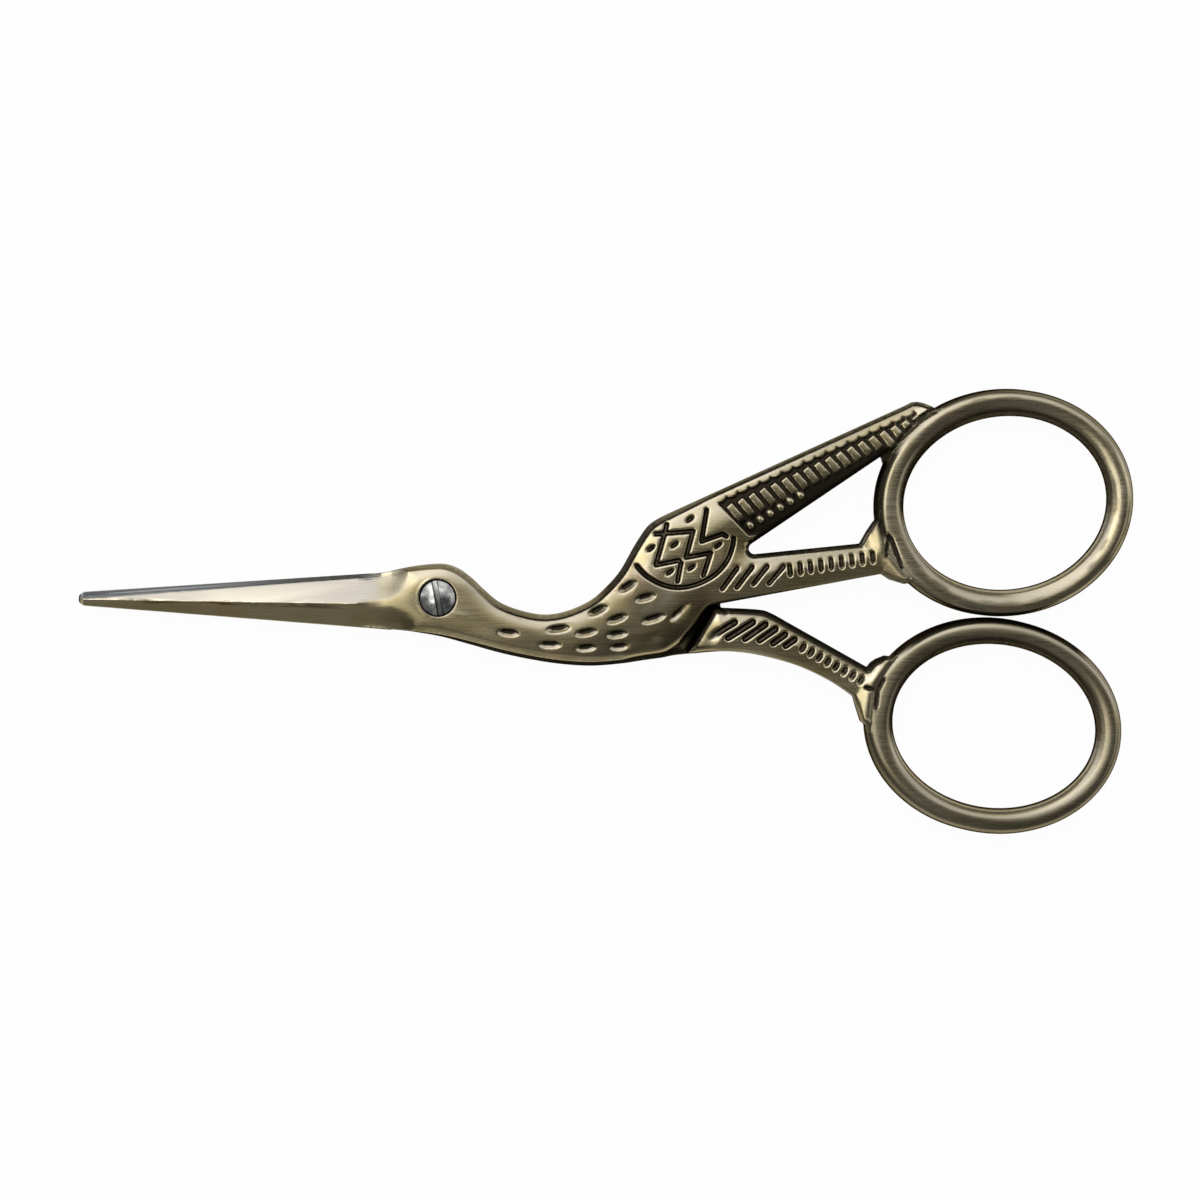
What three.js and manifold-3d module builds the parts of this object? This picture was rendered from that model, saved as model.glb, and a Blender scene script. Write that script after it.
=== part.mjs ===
// Closed stork-handled embroidery scissors: two cast halves that lap at a screw.
// Millimetres. X runs from the blade tips to the rings, +Y is the side of the upper ring, and +Z
// is the side of the screw head. The origin is on the pivot axis, on the underside.
import * as THREE from "three";
import { mergeVertices } from "three/addons/utils/BufferGeometryUtils.js";
import Module from "manifold-3d";

const wasm = await Module();
wasm.setup();

// Driving dimensions: the two layers
const LAYER_THICKNESS = 2.05; // each half where it laps the other
const LAP_GAP = 0.1; // between the two flat lap faces
const BEVEL_WIDTH = 0.65; // chamfer along every outer edge, seen from above
const BEVEL_DEPTH = 0.6; // the same chamfer, seen from the side

// Driving dimensions: blades
const BLADE_LENGTH = 39.2; // pivot axis to blunt tip
const BLADE_ROOT_WIDTH = 6.15; // where the blade leaves the head
const BLADE_TIP_WIDTH = 1.45;
const BLADE_ROOT_RIDGE = 1.95; // thickness at the ridge
const BLADE_TIP_RIDGE = 0.8;
const BLADE_NOSE = 0.55; // length of the blunt round-off at the tip
const BLADE_ROOT_RUN = 1.2; // how far the blade's root runs into the head
const EDGE_LAND = 0.2; // thickness left at the cutting edge
const GRIND_WIDTH = 0.42; // bright ground strip along the cutting edge
const ROOT_CENTRE_Y = -0.31; // the blades hang a little below the pivot at their root
const TIP_CENTRE_Y = -0.07;
const EDGE_WHEEL_RADIUS = 5; // the wheel that ground the facet on the cutting edge's side
const SPINE_WHEEL_RADIUS = 9; // the wheel that ground the facet on the spine's side
const NOSE_SHARE = 0.5; // size of the very tip's section against the one behind it
const GRIND_SHARE = 0.42; // height of the ground strip against the ridge
const SPINE_SHARE = 0.45; // height of the spine against the ridge
const RIDGE_OFFSET_SHARE = 0.12; // the ridge lies this share of a half width towards the spine

// Driving dimensions: head and lap joint
const HEAD_LENGTH = 6.3; // pivot axis to the start of the blade
const HEAD_INSET = 0.1; // the head starts this much inside the blade's edges
const LAP_RADIUS = 31.2; // the front half is two layers thick outside this circle
const LAP_CLEARANCE = 0.4; // between the back half's body and that step
const STEP_CLEARANCE = 0.45; // between the belly and the lower leg's step
const BACK_EDGE_DROP = 0.42; // the back half shows this far below the front half's neck

// Driving dimensions: screw
const SCREW_HEAD_DIAMETER = 3.8;
const SCREW_HEAD_SINK = 0.95; // depth of the head's recess
const SCREW_HEAD_RIM = 0.75; // height of the head's straight side
const SCREW_DOME_HEIGHT = 0.5;
const SCREW_SHANK_DIAMETER = 2.5;
const SCREW_SLOT_WIDTH = 0.55;
const SCREW_SLOT_DEPTH = 0.5;
const SCREW_SLOT_ANGLE = 101; // degrees from +X
const SHANK_CLEARANCE = 0.05; // radial, a running fit
const HEAD_CLEARANCE = 0.1; // radial, between the head and its recess
const SEAT_GAP = 0.05; // under the screw head

// Driving dimensions: finger rings
const RING_BORE_LENGTH = 22.2;
const UPPER_RING_BORE_WIDTH = 18.85;
const LOWER_RING_BORE_WIDTH = 17.8;
const UPPER_RING_ROD_WIDTH = 2.93;
const LOWER_RING_ROD_WIDTH = 2.83;
const RING_ROD_SWELL = 0.36; // the rods are this much wider towards the legs
const RING_ROD_THICKNESS = 3.4;
const UPPER_RING_REACH = 61.8; // pivot axis to ring centre along X
const LOWER_RING_REACH = 60.6;
const UPPER_RING_TILT = 8.5; // degrees
const LOWER_RING_TILT = -7.7;
const UPPER_RING_SWELL_ANGLE = 170; // degrees from +X, where the rod is widest
const LOWER_RING_SWELL_ANGLE = 165;
const RING_MEETING_Y = -2.06; // the line where the closed rings meet
const RING_GAP = 0.08; // between the closed rings

// Driving dimensions: wing and leg
const CROOK_RADIUS = 0.6; // round inner corner between wing and leg
const ROD_BITE = 0.8; // how far wing and legs run into the ring rods

// Shape of the neck and body: points from the pivot axis, as shares of the lap's radius
const NECK_TOP = [
  [-0.099, 0.109], [0.006, 0.12], [0.061, 0.108], [0.112, 0.074], [0.163, 0.026], [0.218, -0.017],
  [0.295, -0.0455], [0.373, -0.058], [0.449, -0.0455], [0.529, -0.01], [0.583, 0.035], [0.636, 0.096],
  [0.689, 0.189], [0.737, 0.256], [0.795, 0.291],
];
const NECK_BOTTOM = [
  [0.795, -0.194], [0.74, -0.201], [0.638, -0.216], [0.532, -0.2235], [0.426, -0.217], [0.321, -0.201],
  [0.215, -0.178], [0.112, -0.151], [0.006, -0.127], [-0.099, -0.114],
];
const BELLY_END = [[0.981, -0.0205], [0.9455, -0.032], [0.907, -0.088], [0.853, -0.152]];
const CROOK = [1.029, 0.1455]; // where the wing's and the leg's inner edges would cross

// Shape of the lower leg: share of the way from the lap's circle to the ring, and height
const LOWER_LEG_TOP = [[0.233, -1.25], [0.323, -1.62], [0.427, -2.5]];
const LOWER_LEG_BOTTOM = [[0.743, -9.03], [0.537, -7.5], [0.323, -6.5], [0.11, -5.9], [-0.103, -5.88]];

// Shape of the ends at the rings: degrees round the ring's centre, and distance outside its rod
const WING_CORNER = [135.6, 2];
const WING_TIP = [129.5, 2.1];
const WING_END = [125.6, 146.6]; // the rod's stretch that the wing runs into
const UPPER_LEG_TOP_COLLAR = [[195.6, 2.15], [191.5, 1.05], [188, 0.15]];
const UPPER_LEG_END = [185, 221];
const UPPER_LEG_BOTTOM_COLLAR = [[219, 0.3], [216, 0.75], [213.4, 1.2], [209.9, 1.5]];
const LOWER_LEG_TOP_COLLAR = [[155.1, 1.24], [152.7, 1.18], [150.5, 0.95], [147, 0.4]];
const LOWER_LEG_END = [145, 181];
const LOWER_LEG_BOTTOM_COLLAR = [[178, 0.35], [172.2, 0.95], [168, 1.5]];

// Facets of round shapes
const CURVE_STEPS = 5;
const ROUND_FACETS = 48;
const RING_STATIONS = 64;
const RING_SECTION_POINTS = 14;
const RING_SQUARENESS = 2.3; // exponent of the rod's rounded section, 2 is an ellipse
const DOME_STEPS = 5;
const WELD_DISTANCE = 1e-4; // corners nearer than this are one corner

// Worked out from the driving dimensions
const LAP_Z = LAP_GAP / 2;
const TOP_Z = LAP_Z + LAYER_THICKNESS;
const REACH_PAST = 1; // how far cutters run past the faces they cut
const fromPivot = (shares) => shares.map(([x, y]) => [x * LAP_RADIUS, y * LAP_RADIUS]);
const neckTop = fromPivot(NECK_TOP);
const neckBottom = fromPivot(NECK_BOTTOM);
const bellyEnd = fromPivot(BELLY_END);
const [crook] = fromPivot([CROOK]);
const [bellyX, bellyY] = bellyEnd[1];
const [flankX, flankY] = bellyEnd[3];
const STEP_TOP = [bellyX + STEP_CLEARANCE, bellyY];
const STEP_FOOT = [flankX + 2 * STEP_CLEARANCE, flankY - STEP_CLEARANCE];

const radians = THREE.MathUtils.degToRad;

const upperRing = {
  x: UPPER_RING_REACH,
  halfLength: RING_BORE_LENGTH / 2,
  halfWidth: UPPER_RING_BORE_WIDTH / 2,
  tilt: radians(UPPER_RING_TILT),
  rod: UPPER_RING_ROD_WIDTH,
  swellAngle: radians(UPPER_RING_SWELL_ANGLE),
};
const lowerRing = {
  x: LOWER_RING_REACH,
  halfLength: RING_BORE_LENGTH / 2,
  halfWidth: LOWER_RING_BORE_WIDTH / 2,
  tilt: radians(LOWER_RING_TILT),
  rod: LOWER_RING_ROD_WIDTH,
  swellAngle: radians(LOWER_RING_SWELL_ANGLE),
};
upperRing.y = RING_MEETING_Y + RING_GAP / 2 + heightFromCentre(upperRing, -Math.PI / 2);
lowerRing.y = RING_MEETING_Y - RING_GAP / 2 - heightFromCentre(lowerRing, Math.PI / 2);

// The width of a ring's rod, seen from above, in a direction from the ring's centre.
function rodWidth(ring, angle) {
  return ring.rod + RING_ROD_SWELL * Math.max(0, Math.cos(angle - ring.swellAngle));
}

// How far a ring reaches from its centre along Y, on the side that an angle gives.
function heightFromCentre(ring, angle) {
  const width = rodWidth(ring, angle);
  const along = (ring.halfLength + width) * Math.sin(ring.tilt);
  const across = (ring.halfWidth + width) * Math.cos(ring.tilt);
  return Math.hypot(along, across);
}

// The point seen from a ring's centre at an angle, this far outside the ring's outer edge.
function fromRing(ring, degrees, outset) {
  const angle = radians(degrees);
  const a = ring.halfLength + rodWidth(ring, angle);
  const b = ring.halfWidth + rodWidth(ring, angle);
  const turned = angle - ring.tilt;
  const radius = (a * b) / Math.hypot(b * Math.cos(turned), a * Math.sin(turned)) + outset;
  return [ring.x + radius * Math.cos(angle), ring.y + radius * Math.sin(angle)];
}

// Points at a ring, and the three points of an end that runs into the ring's rod
const aroundRing = (ring, places) => places.map((place) => fromRing(ring, ...place));
const insideRod = (ring, [from, to]) =>
  [from, (from + to) / 2, to].map((degrees) => fromRing(ring, degrees, -ROD_BITE));

const vectors = (points) => points.map(([x, y]) => new THREE.Vector2(x, y));
const legReach = lowerRing.x - lowerRing.halfLength - lowerRing.rod - LAP_RADIUS;
const alongLeg = (places) => places.map(([share, y]) => [LAP_RADIUS + share * legReach, y]);
const lowerLegTop = alongLeg(LOWER_LEG_TOP);
const lowerLegBottom = alongLeg(LOWER_LEG_BOTTOM);

const dropAt = (x) => BACK_EDGE_DROP * THREE.MathUtils.smoothstep(x, -HEAD_LENGTH, HEAD_LENGTH);
const lowered = (points) => points.map(([x, y]) => [x, y - dropAt(x)]);

function lineThrough(shape, points) {
  for (const [x, y] of points) shape.lineTo(x, y);
}

// A round inner corner: a straight run to the arc, the arc, and on towards the next point.
function roundCorner(shape, corner, next, radius) {
  const here = shape.currentPoint.clone();
  const at = new THREE.Vector2(...corner);
  const back = here.sub(at).normalize();
  const ahead = new THREE.Vector2(...next).sub(at).normalize();
  const half = Math.acos(THREE.MathUtils.clamp(back.dot(ahead), -1, 1)) / 2;
  const start = at.clone().addScaledVector(back, radius / Math.tan(half));
  const end = at.clone().addScaledVector(ahead, radius / Math.tan(half));
  const inward = back.clone().add(ahead).normalize();
  const centre = at.clone().addScaledVector(inward, radius / Math.sin(half));
  const from = start.clone().sub(centre).angle();
  const to = end.clone().sub(centre).angle();
  shape.lineTo(start.x, start.y);
  shape.absarc(centre.x, centre.y, radius, from, to, back.cross(ahead) > 0);
}

// The contour that both halves share, from the blade over the head and neck to the shoulder.
function startNeck() {
  const shape = new THREE.Shape();
  shape.moveTo(-HEAD_LENGTH, bladeEdge(-HEAD_LENGTH, 1) - HEAD_INSET);
  shape.splineThru(vectors(neckTop));
  return shape;
}

function frontOutline() {
  const shape = startNeck();
  const wingEnd = insideRod(upperRing, WING_END);
  shape.lineTo(...fromRing(upperRing, ...WING_CORNER));
  shape.quadraticCurveTo(...fromRing(upperRing, ...WING_TIP), ...wingEnd[0]);
  lineThrough(shape, wingEnd.slice(1));
  const legTop = aroundRing(upperRing, UPPER_LEG_TOP_COLLAR);
  roundCorner(shape, crook, legTop[0], CROOK_RADIUS);
  lineThrough(shape, legTop);
  lineThrough(shape, insideRod(upperRing, UPPER_LEG_END));
  lineThrough(shape, aroundRing(upperRing, UPPER_LEG_BOTTOM_COLLAR));
  shape.lineTo(...bellyEnd[0]);
  shape.splineThru(vectors(bellyEnd.slice(1).concat(neckBottom.slice(0, 1))));
  shape.splineThru(vectors(neckBottom.slice(1)));
  shape.lineTo(-HEAD_LENGTH, bladeEdge(-HEAD_LENGTH, -1) + HEAD_INSET);
  return shape;
}

function backOutline() {
  const shape = startNeck();
  const bodyRadius = LAP_RADIUS - LAP_CLEARANCE;
  const wingCorner = fromRing(upperRing, ...WING_CORNER);
  const start = whereLineMeetsCircle(neckTop.at(-1), wingCorner, bodyRadius);
  const end = whereLineMeetsCircle(STEP_TOP, lowerLegTop[0], bodyRadius);
  shape.lineTo(...start);
  shape.absarc(0, 0, bodyRadius, Math.atan2(start[1], start[0]), Math.atan2(end[1], end[0]), true);
  shape.splineThru(vectors(lowerLegTop));
  lineThrough(shape, aroundRing(lowerRing, LOWER_LEG_TOP_COLLAR));
  lineThrough(shape, insideRod(lowerRing, LOWER_LEG_END));
  lineThrough(shape, aroundRing(lowerRing, LOWER_LEG_BOTTOM_COLLAR));
  shape.splineThru(vectors(lowerLegBottom.concat(lowered(neckBottom.slice(1)))));
  shape.lineTo(-HEAD_LENGTH, bladeEdge(-HEAD_LENGTH, -1) + HEAD_INSET);
  return shape;
}

// The point between two others that is a given distance from the pivot axis.
function whereLineMeetsCircle(from, to, radius) {
  const direction = [to[0] - from[0], to[1] - from[1]];
  const a = direction[0] ** 2 + direction[1] ** 2;
  const b = from[0] * direction[0] + from[1] * direction[1];
  const c = from[0] ** 2 + from[1] ** 2 - radius ** 2;
  const share = (-b + Math.sqrt(b * b - a * c)) / a;
  return [from[0] + share * direction[0], from[1] + share * direction[1]];
}

// The blade's upper (side 1) or lower (side -1) edge at a place along X.
function bladeEdge(x, side) {
  const share = (-HEAD_LENGTH - x) / (BLADE_LENGTH - HEAD_LENGTH);
  const centre = THREE.MathUtils.lerp(ROOT_CENTRE_Y, TIP_CENTRE_Y, share);
  const width = THREE.MathUtils.lerp(BLADE_ROOT_WIDTH, BLADE_TIP_WIDTH, share);
  return centre + (side * width) / 2;
}

// Solids from closed three.js geometry, and back
function solidOf(geometry) {
  const bare = geometry.clone();
  bare.deleteAttribute("normal");
  bare.deleteAttribute("uv");
  const merged = mergeVertices(bare, WELD_DISTANCE);
  const mesh = new wasm.Mesh({
    numProp: 3,
    vertProperties: new Float32Array(merged.attributes.position.array),
    triVerts: new Uint32Array(merged.index.array),
  });
  return new wasm.Manifold(mesh);
}

function geometryOf(solid) {
  const mesh = solid.getMesh();
  const geometry = new THREE.BufferGeometry();
  geometry.setAttribute("position", new THREE.BufferAttribute(mesh.vertProperties, 3));
  geometry.setIndex(new THREE.BufferAttribute(mesh.triVerts, 1));
  geometry.computeVertexNormals();
  return geometry;
}

// A plate of both layers with a chamfer along its upper and lower edges
function bevelledPlate(outline) {
  const geometry = new THREE.ExtrudeGeometry(outline, {
    depth: 2 * (TOP_Z - BEVEL_DEPTH),
    curveSegments: CURVE_STEPS,
    bevelEnabled: true,
    bevelThickness: BEVEL_DEPTH,
    bevelSize: BEVEL_WIDTH,
    bevelOffset: -BEVEL_WIDTH,
    bevelSegments: 1,
  });
  geometry.translate(0, 0, -(TOP_Z - BEVEL_DEPTH));
  return solidOf(geometry);
}

// An upright cylinder on the pivot axis between two heights
function upright(radius, bottom, top) {
  const geometry = new THREE.CylinderGeometry(radius, radius, top - bottom, ROUND_FACETS);
  geometry.rotateX(Math.PI / 2);
  geometry.translate(0, 0, (top + bottom) / 2);
  return solidOf(geometry);
}

// Closed skin over loops of points, one loop a station, joined end to end or capped
function skin(loops, closed) {
  const count = loops[0].length;
  const index = [];
  const last = closed ? loops.length : loops.length - 1;
  for (let i = 0; i < last; i++) {
    const a = i * count;
    const b = ((i + 1) % loops.length) * count;
    for (let j = 0; j < count; j++) {
      const k = (j + 1) % count;
      index.push(a + j, b + j, b + k, a + j, b + k, a + k);
    }
  }
  if (!closed) {
    const end = (loops.length - 1) * count;
    for (let j = 1; j < count - 1; j++) {
      index.push(0, j, j + 1, end, end + j + 1, end + j);
    }
  }
  const geometry = new THREE.BufferGeometry();
  geometry.setAttribute("position", new THREE.Float32BufferAttribute(loops.flat(2), 3));
  geometry.setIndex(index);
  return geometry;
}

// A finger ring: a rod of rounded section swept round its ellipse
function ringSolid(ring) {
  const rounded = (value) => Math.sign(value) * Math.abs(value) ** (2 / RING_SQUARENESS);
  const loops = [];
  for (let i = 0; i < RING_STATIONS; i++) {
    const turn = (2 * Math.PI * i) / RING_STATIONS;
    const width = rodWidth(ring, turn + ring.tilt);
    const loop = [];
    for (let j = 0; j < RING_SECTION_POINTS; j++) {
      const around = (2 * Math.PI * j) / RING_SECTION_POINTS;
      const out = (width / 2) * (1 + rounded(Math.cos(around)));
      const x = (ring.halfLength + out) * Math.cos(turn);
      const y = (ring.halfWidth + out) * Math.sin(turn);
      loop.push([
        ring.x + x * Math.cos(ring.tilt) - y * Math.sin(ring.tilt),
        ring.y + x * Math.sin(ring.tilt) + y * Math.cos(ring.tilt),
        (RING_ROD_THICKNESS / 2) * rounded(Math.sin(around)),
      ]);
    }
    loops.push(loop);
  }
  return solidOf(skin(loops, true));
}

// A blade's section at a place along X: cutting edge, ground strip, ridge, spine and flat side.
// Side 1 is the front blade, with its cutting edge up; side -1 is the back blade, turned over.
function bladeSection(x, side, size) {
  const share = (-HEAD_LENGTH - x) / (BLADE_LENGTH - HEAD_LENGTH);
  const ridge = THREE.MathUtils.lerp(BLADE_ROOT_RIDGE, BLADE_TIP_RIDGE, share) * size;
  const middle = (bladeEdge(x, 1) + bladeEdge(x, -1)) / 2;
  const half = ((bladeEdge(x, 1) - bladeEdge(x, -1)) / 2) * size;
  const profile = [
    [half, -LAP_Z],
    [half, EDGE_LAND * size],
    [half - GRIND_WIDTH * size, EDGE_LAND * size + GRIND_SHARE * ridge],
    [-RIDGE_OFFSET_SHARE * half, ridge],
    [-half, SPINE_SHARE * ridge],
    [-half, -LAP_Z],
  ];
  return profile.map(([across, up]) => [x, middle + side * across, side * (LAP_Z + up)]);
}

function bladeSolid(side) {
  const nose = bladeSection(-BLADE_LENGTH, side, NOSE_SHARE);
  const shoulder = bladeSection(-BLADE_LENGTH + BLADE_NOSE, side, 1);
  const root = bladeSection(-HEAD_LENGTH + BLADE_ROOT_RUN, side, 1);
  return solidOf(skin([root, shoulder, nose], false));
}

// The wheel that ground one facet of a blade, where its rim left the head
function facetWheel(from, to, side, radius) {
  const start = new THREE.Vector3(...from);
  const along = new THREE.Vector3(...to).sub(start);
  const outward = new THREE.Vector3(0, -along.z, along.y).normalize();
  outward.multiplyScalar(radius * Math.sign(outward.z) * side);
  const centre = start.addScaledVector(along, 1 / 2).add(outward);
  const wheel = new THREE.CylinderGeometry(radius, radius, 2 * BLADE_ROOT_WIDTH, ROUND_FACETS);
  wheel.rotateX(Math.atan2(along.z, along.y));
  wheel.translate(centre.x, centre.y, centre.z);
  return solidOf(wheel);
}

// A half's blade and plate, with the head ground where the blade's two facets run out
function groundCasting(outline, side) {
  const [, , strip, ridge, spine] = bladeSection(-HEAD_LENGTH, side, 1);
  const edgeWheel = facetWheel(strip, ridge, side, EDGE_WHEEL_RADIUS);
  const spineWheel = facetWheel(ridge, spine, side, SPINE_WHEEL_RADIUS);
  return bevelledPlate(outline).subtract(edgeWheel).subtract(spineWheel).add(bladeSolid(side));
}

// A cutter with upright walls that opens out at a face, for a chamfered rim there. Side 1 cuts the
// upper layer. Side -1 is turned over about X and cuts the lower one.
function lapCutter(outline, side) {
  const walls = new THREE.ExtrudeGeometry(outline, {
    depth: TOP_Z + REACH_PAST,
    curveSegments: ROUND_FACETS,
    bevelEnabled: false,
  });
  const rim = new THREE.ExtrudeGeometry(outline, {
    depth: REACH_PAST,
    curveSegments: ROUND_FACETS,
    bevelEnabled: true,
    bevelThickness: BEVEL_DEPTH,
    bevelSize: BEVEL_WIDTH,
    bevelSegments: 1,
  });
  walls.translate(0, 0, -LAP_Z);
  rim.translate(0, 0, TOP_Z);
  if (side < 0) {
    walls.rotateX(Math.PI);
    rim.rotateX(Math.PI);
  }
  return solidOf(walls).add(solidOf(rim));
}

// What the front half leaves free in the lower layer: the disc about the pivot and the blade's side
function frontLap() {
  const far = BLADE_LENGTH + LAP_RADIUS;
  const shape = new THREE.Shape();
  shape.absarc(0, 0, LAP_RADIUS, -Math.PI / 2, Math.PI / 2, false);
  lineThrough(shape, [[-far, LAP_RADIUS], [-far, -LAP_RADIUS]]);
  return lapCutter(shape, -1);
}

// What the back half leaves free in the upper layer: all that lies on the blade's side of its step
function backLap() {
  const far = BLADE_LENGTH + LAP_RADIUS;
  const slope = (STEP_TOP[0] - STEP_FOOT[0]) / (STEP_TOP[1] - STEP_FOOT[1]);
  const legTop = whereLineMeetsCircle(STEP_TOP, lowerLegTop[0], LAP_RADIUS);
  const points = [
    [-far, -far],
    [STEP_FOOT[0] - slope * (far + STEP_FOOT[1]), -far],
    STEP_TOP,
    [legTop[0], legTop[1] - LAP_GAP],
    [LAP_RADIUS + LAP_CLEARANCE, far],
    [-far, far],
  ];
  return lapCutter(new THREE.Shape(vectors(points)), 1);
}

const boreRadius = SCREW_SHANK_DIAMETER / 2 + SHANK_CLEARANCE;
const recessRadius = SCREW_HEAD_DIAMETER / 2 + HEAD_CLEARANCE;
const shankBore = upright(boreRadius, -TOP_Z - REACH_PAST, TOP_Z + REACH_PAST);
const headRecess = upright(recessRadius, TOP_Z - SCREW_HEAD_SINK, TOP_Z + REACH_PAST);

function frontHalf() {
  const casting = groundCasting(frontOutline(), 1).subtract(frontLap());
  return casting.add(ringSolid(upperRing)).subtract(shankBore).subtract(headRecess);
}

function backHalf() {
  const casting = groundCasting(backOutline(), -1).subtract(backLap());
  return casting.add(ringSolid(lowerRing)).subtract(shankBore);
}

function pivotScrew() {
  const headRadius = SCREW_HEAD_DIAMETER / 2;
  const shankRadius = SCREW_SHANK_DIAMETER / 2;
  const seat = TOP_Z - SCREW_HEAD_SINK + SEAT_GAP;
  const rim = seat + SCREW_HEAD_RIM;
  const profile = [
    [0, -TOP_Z],
    [shankRadius, -TOP_Z],
    [shankRadius, seat],
    [headRadius, seat],
    [headRadius, rim],
  ];
  for (let i = 1; i <= DOME_STEPS; i++) {
    const angle = ((Math.PI / 2) * i) / DOME_STEPS;
    profile.push([headRadius * Math.cos(angle), rim + SCREW_DOME_HEIGHT * Math.sin(angle)]);
  }
  profile.at(-1)[0] = 0;
  const turned = new THREE.LatheGeometry(vectors(profile), ROUND_FACETS);
  turned.rotateX(Math.PI / 2);
  const slot = new THREE.BoxGeometry(2 * SCREW_HEAD_DIAMETER, SCREW_SLOT_WIDTH, 2 * SCREW_SLOT_DEPTH);
  slot.rotateZ(radians(SCREW_SLOT_ANGLE));
  slot.translate(0, 0, rim + SCREW_DOME_HEIGHT);
  return solidOf(turned).subtract(solidOf(slot));
}

const bronze = { color: 0x8c8268, roughness: 0.36, metalness: 1 };
const steel = { color: 0xb8b6b0, roughness: 0.24, metalness: 1 };

function pieceMesh(name, solid, finish) {
  const mesh = new THREE.Mesh(geometryOf(solid), new THREE.MeshStandardMaterial(finish));
  mesh.name = name;
  return mesh;
}

const layers = new THREE.Group();
layers.position.z = TOP_Z;
layers.add(pieceMesh("front_half", frontHalf(), bronze));
layers.add(pieceMesh("back_half", backHalf(), bronze));
layers.add(pieceMesh("pivot_screw", pivotScrew(), steel));

const scissors = new THREE.Group();
scissors.add(layers);

export default scissors;
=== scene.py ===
# Looks of the closed stork-handled embroidery scissors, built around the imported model.
# X runs from the blade tips to the rings, +Y is the upper ring's side, +Z the screw head's side.
# Pieces are modelled in millimetres from the pivot axis and brought to metres when they are done.
import math

import bpy
import numpy as np
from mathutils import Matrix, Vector, noise
from mathutils.kdtree import KDTree

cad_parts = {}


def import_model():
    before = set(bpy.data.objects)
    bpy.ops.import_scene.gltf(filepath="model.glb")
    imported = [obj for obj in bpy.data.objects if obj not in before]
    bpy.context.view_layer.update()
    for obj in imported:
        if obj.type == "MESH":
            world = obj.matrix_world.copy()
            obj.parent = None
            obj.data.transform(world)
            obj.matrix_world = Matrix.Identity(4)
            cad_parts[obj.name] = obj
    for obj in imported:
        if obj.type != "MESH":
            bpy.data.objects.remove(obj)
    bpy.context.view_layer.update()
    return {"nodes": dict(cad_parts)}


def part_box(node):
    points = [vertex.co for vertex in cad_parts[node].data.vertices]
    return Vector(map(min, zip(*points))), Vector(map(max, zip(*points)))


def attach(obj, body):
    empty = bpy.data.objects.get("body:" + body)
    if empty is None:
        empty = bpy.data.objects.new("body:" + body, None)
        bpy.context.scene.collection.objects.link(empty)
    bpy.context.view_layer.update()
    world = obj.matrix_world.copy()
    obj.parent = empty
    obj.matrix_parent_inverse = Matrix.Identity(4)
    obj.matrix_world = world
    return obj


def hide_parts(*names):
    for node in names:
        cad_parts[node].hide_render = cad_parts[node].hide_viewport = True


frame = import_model()

# Sizes from the frame, in millimetres
MM = 0.001
FRONT_LOW, FRONT_HIGH = (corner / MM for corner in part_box("front_half"))
_, SCREW_HIGH = (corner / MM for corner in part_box("pivot_screw"))
TOP_Z = FRONT_HIGH.z
MIDDLE_Z = TOP_Z / 2

# Photograph: where the pivot is in its 1200 x 1200 frame, and its scale
PHOTO_SIZE = 1200
PIVOT_PIXEL = Vector((438.3, 598.0))
MM_PER_PIXEL = 0.1091

# Casting: fineness of the mesh, and how the flat faces fall away to their edges
VOXEL = 0.09
SMOOTH_PASSES = 6
JOINT_SMOOTH_PASSES = 8
MOST_TRIANGLES = 195_000
HEAD_CROWN_WIDTH, HEAD_CROWN_DROP = 2.6, 0.34
BODY_CROWN_WIDTH, BODY_CROWN_DROP = 4.2, 0.42
CROWN_START, CROWN_END, CROWN_BLUR = 12.0, 20.0, 0.2
BEVEL_WIDTH, BEVEL_DEPTH, NARROW_BEVEL = 0.65, 0.6, 0.42
NARROW_START, NARROW_END, NARROW_BLUR = 23.0, 31.0, 0.1
BLADE_END = -5.0
RUNOUT_START, RUNOUT_END, RUNOUT_FADE, RUNOUT_BLUR = -9.0, -0.5, 3.0, 0.95
HEAD_CHAMFER_START, HEAD_CHAMFER_FULL = -6.0, -3.6
BODY_END_LEFT, BODY_END_RIGHT, BODY_END_TOP, BODY_END_BLUR = 20.0, 31.0, -0.6, 1.0
BODY_END_FADE, BODY_END_REACH = 2, (1.6, 2.6)
JOINT_INNER, JOINT_OUTER, JOINT_RIGHT = (0.9, 0.95), (1.06, 1.14), 54
BLADE_SMOOTH, TAIL_SMOOTH = 0.25, 0.6
GAP_LEFT, GAP_LOW = 28.0, 4.6
SHANK_TAPER_START, SHANK_TAPER_END = 33.5, 47.0
SHANK_TAPER, SHANK_PLANES = 0.82, 10

# Finger rings: bore and rod of each, where the rod swells, where its shoulder is flat for the leg, and the
# turns between which a band of painted shadow lies on its outer flank
RING_STATIONS, RING_SECTION = 240, 40
RING_SQUARENESS, RING_FLAT_SQUARENESS = 2.4, 3.2
RING_HALF_HEIGHT = 1.7
RING_SWELL = 0.36
RING_SHOULDER_RISE, RING_SHOULDER_LEAN = 0.1, 0.16
UPPER_RING = {
    "centre": (61.8, 10.374), "bore": (11.1, 9.425), "tilt": 8.5, "rod": 2.93, "swell": 170,
    "leg": 196, "leg_spread": 22, "dish": 0.3, "dish_reach": 1, "dark": (138, 194), "shadow_fade": 8,
    "film": 0.0,
}
LOWER_RING = {
    "centre": (60.6, -13.967), "bore": (11.1, 8.9), "tilt": -7.7, "rod": 2.83, "swell": 165,
    "leg": 174, "leg_spread": 22, "dish": 0.3, "dish_reach": 0, "dark": (40, 152), "shadow_fade": 18,
    "film": 0.36,
}
TAIL_SEAM_START, TAIL_SEAM_END, TAIL_SEAM_STEPS = 114, 148, 7

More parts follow.
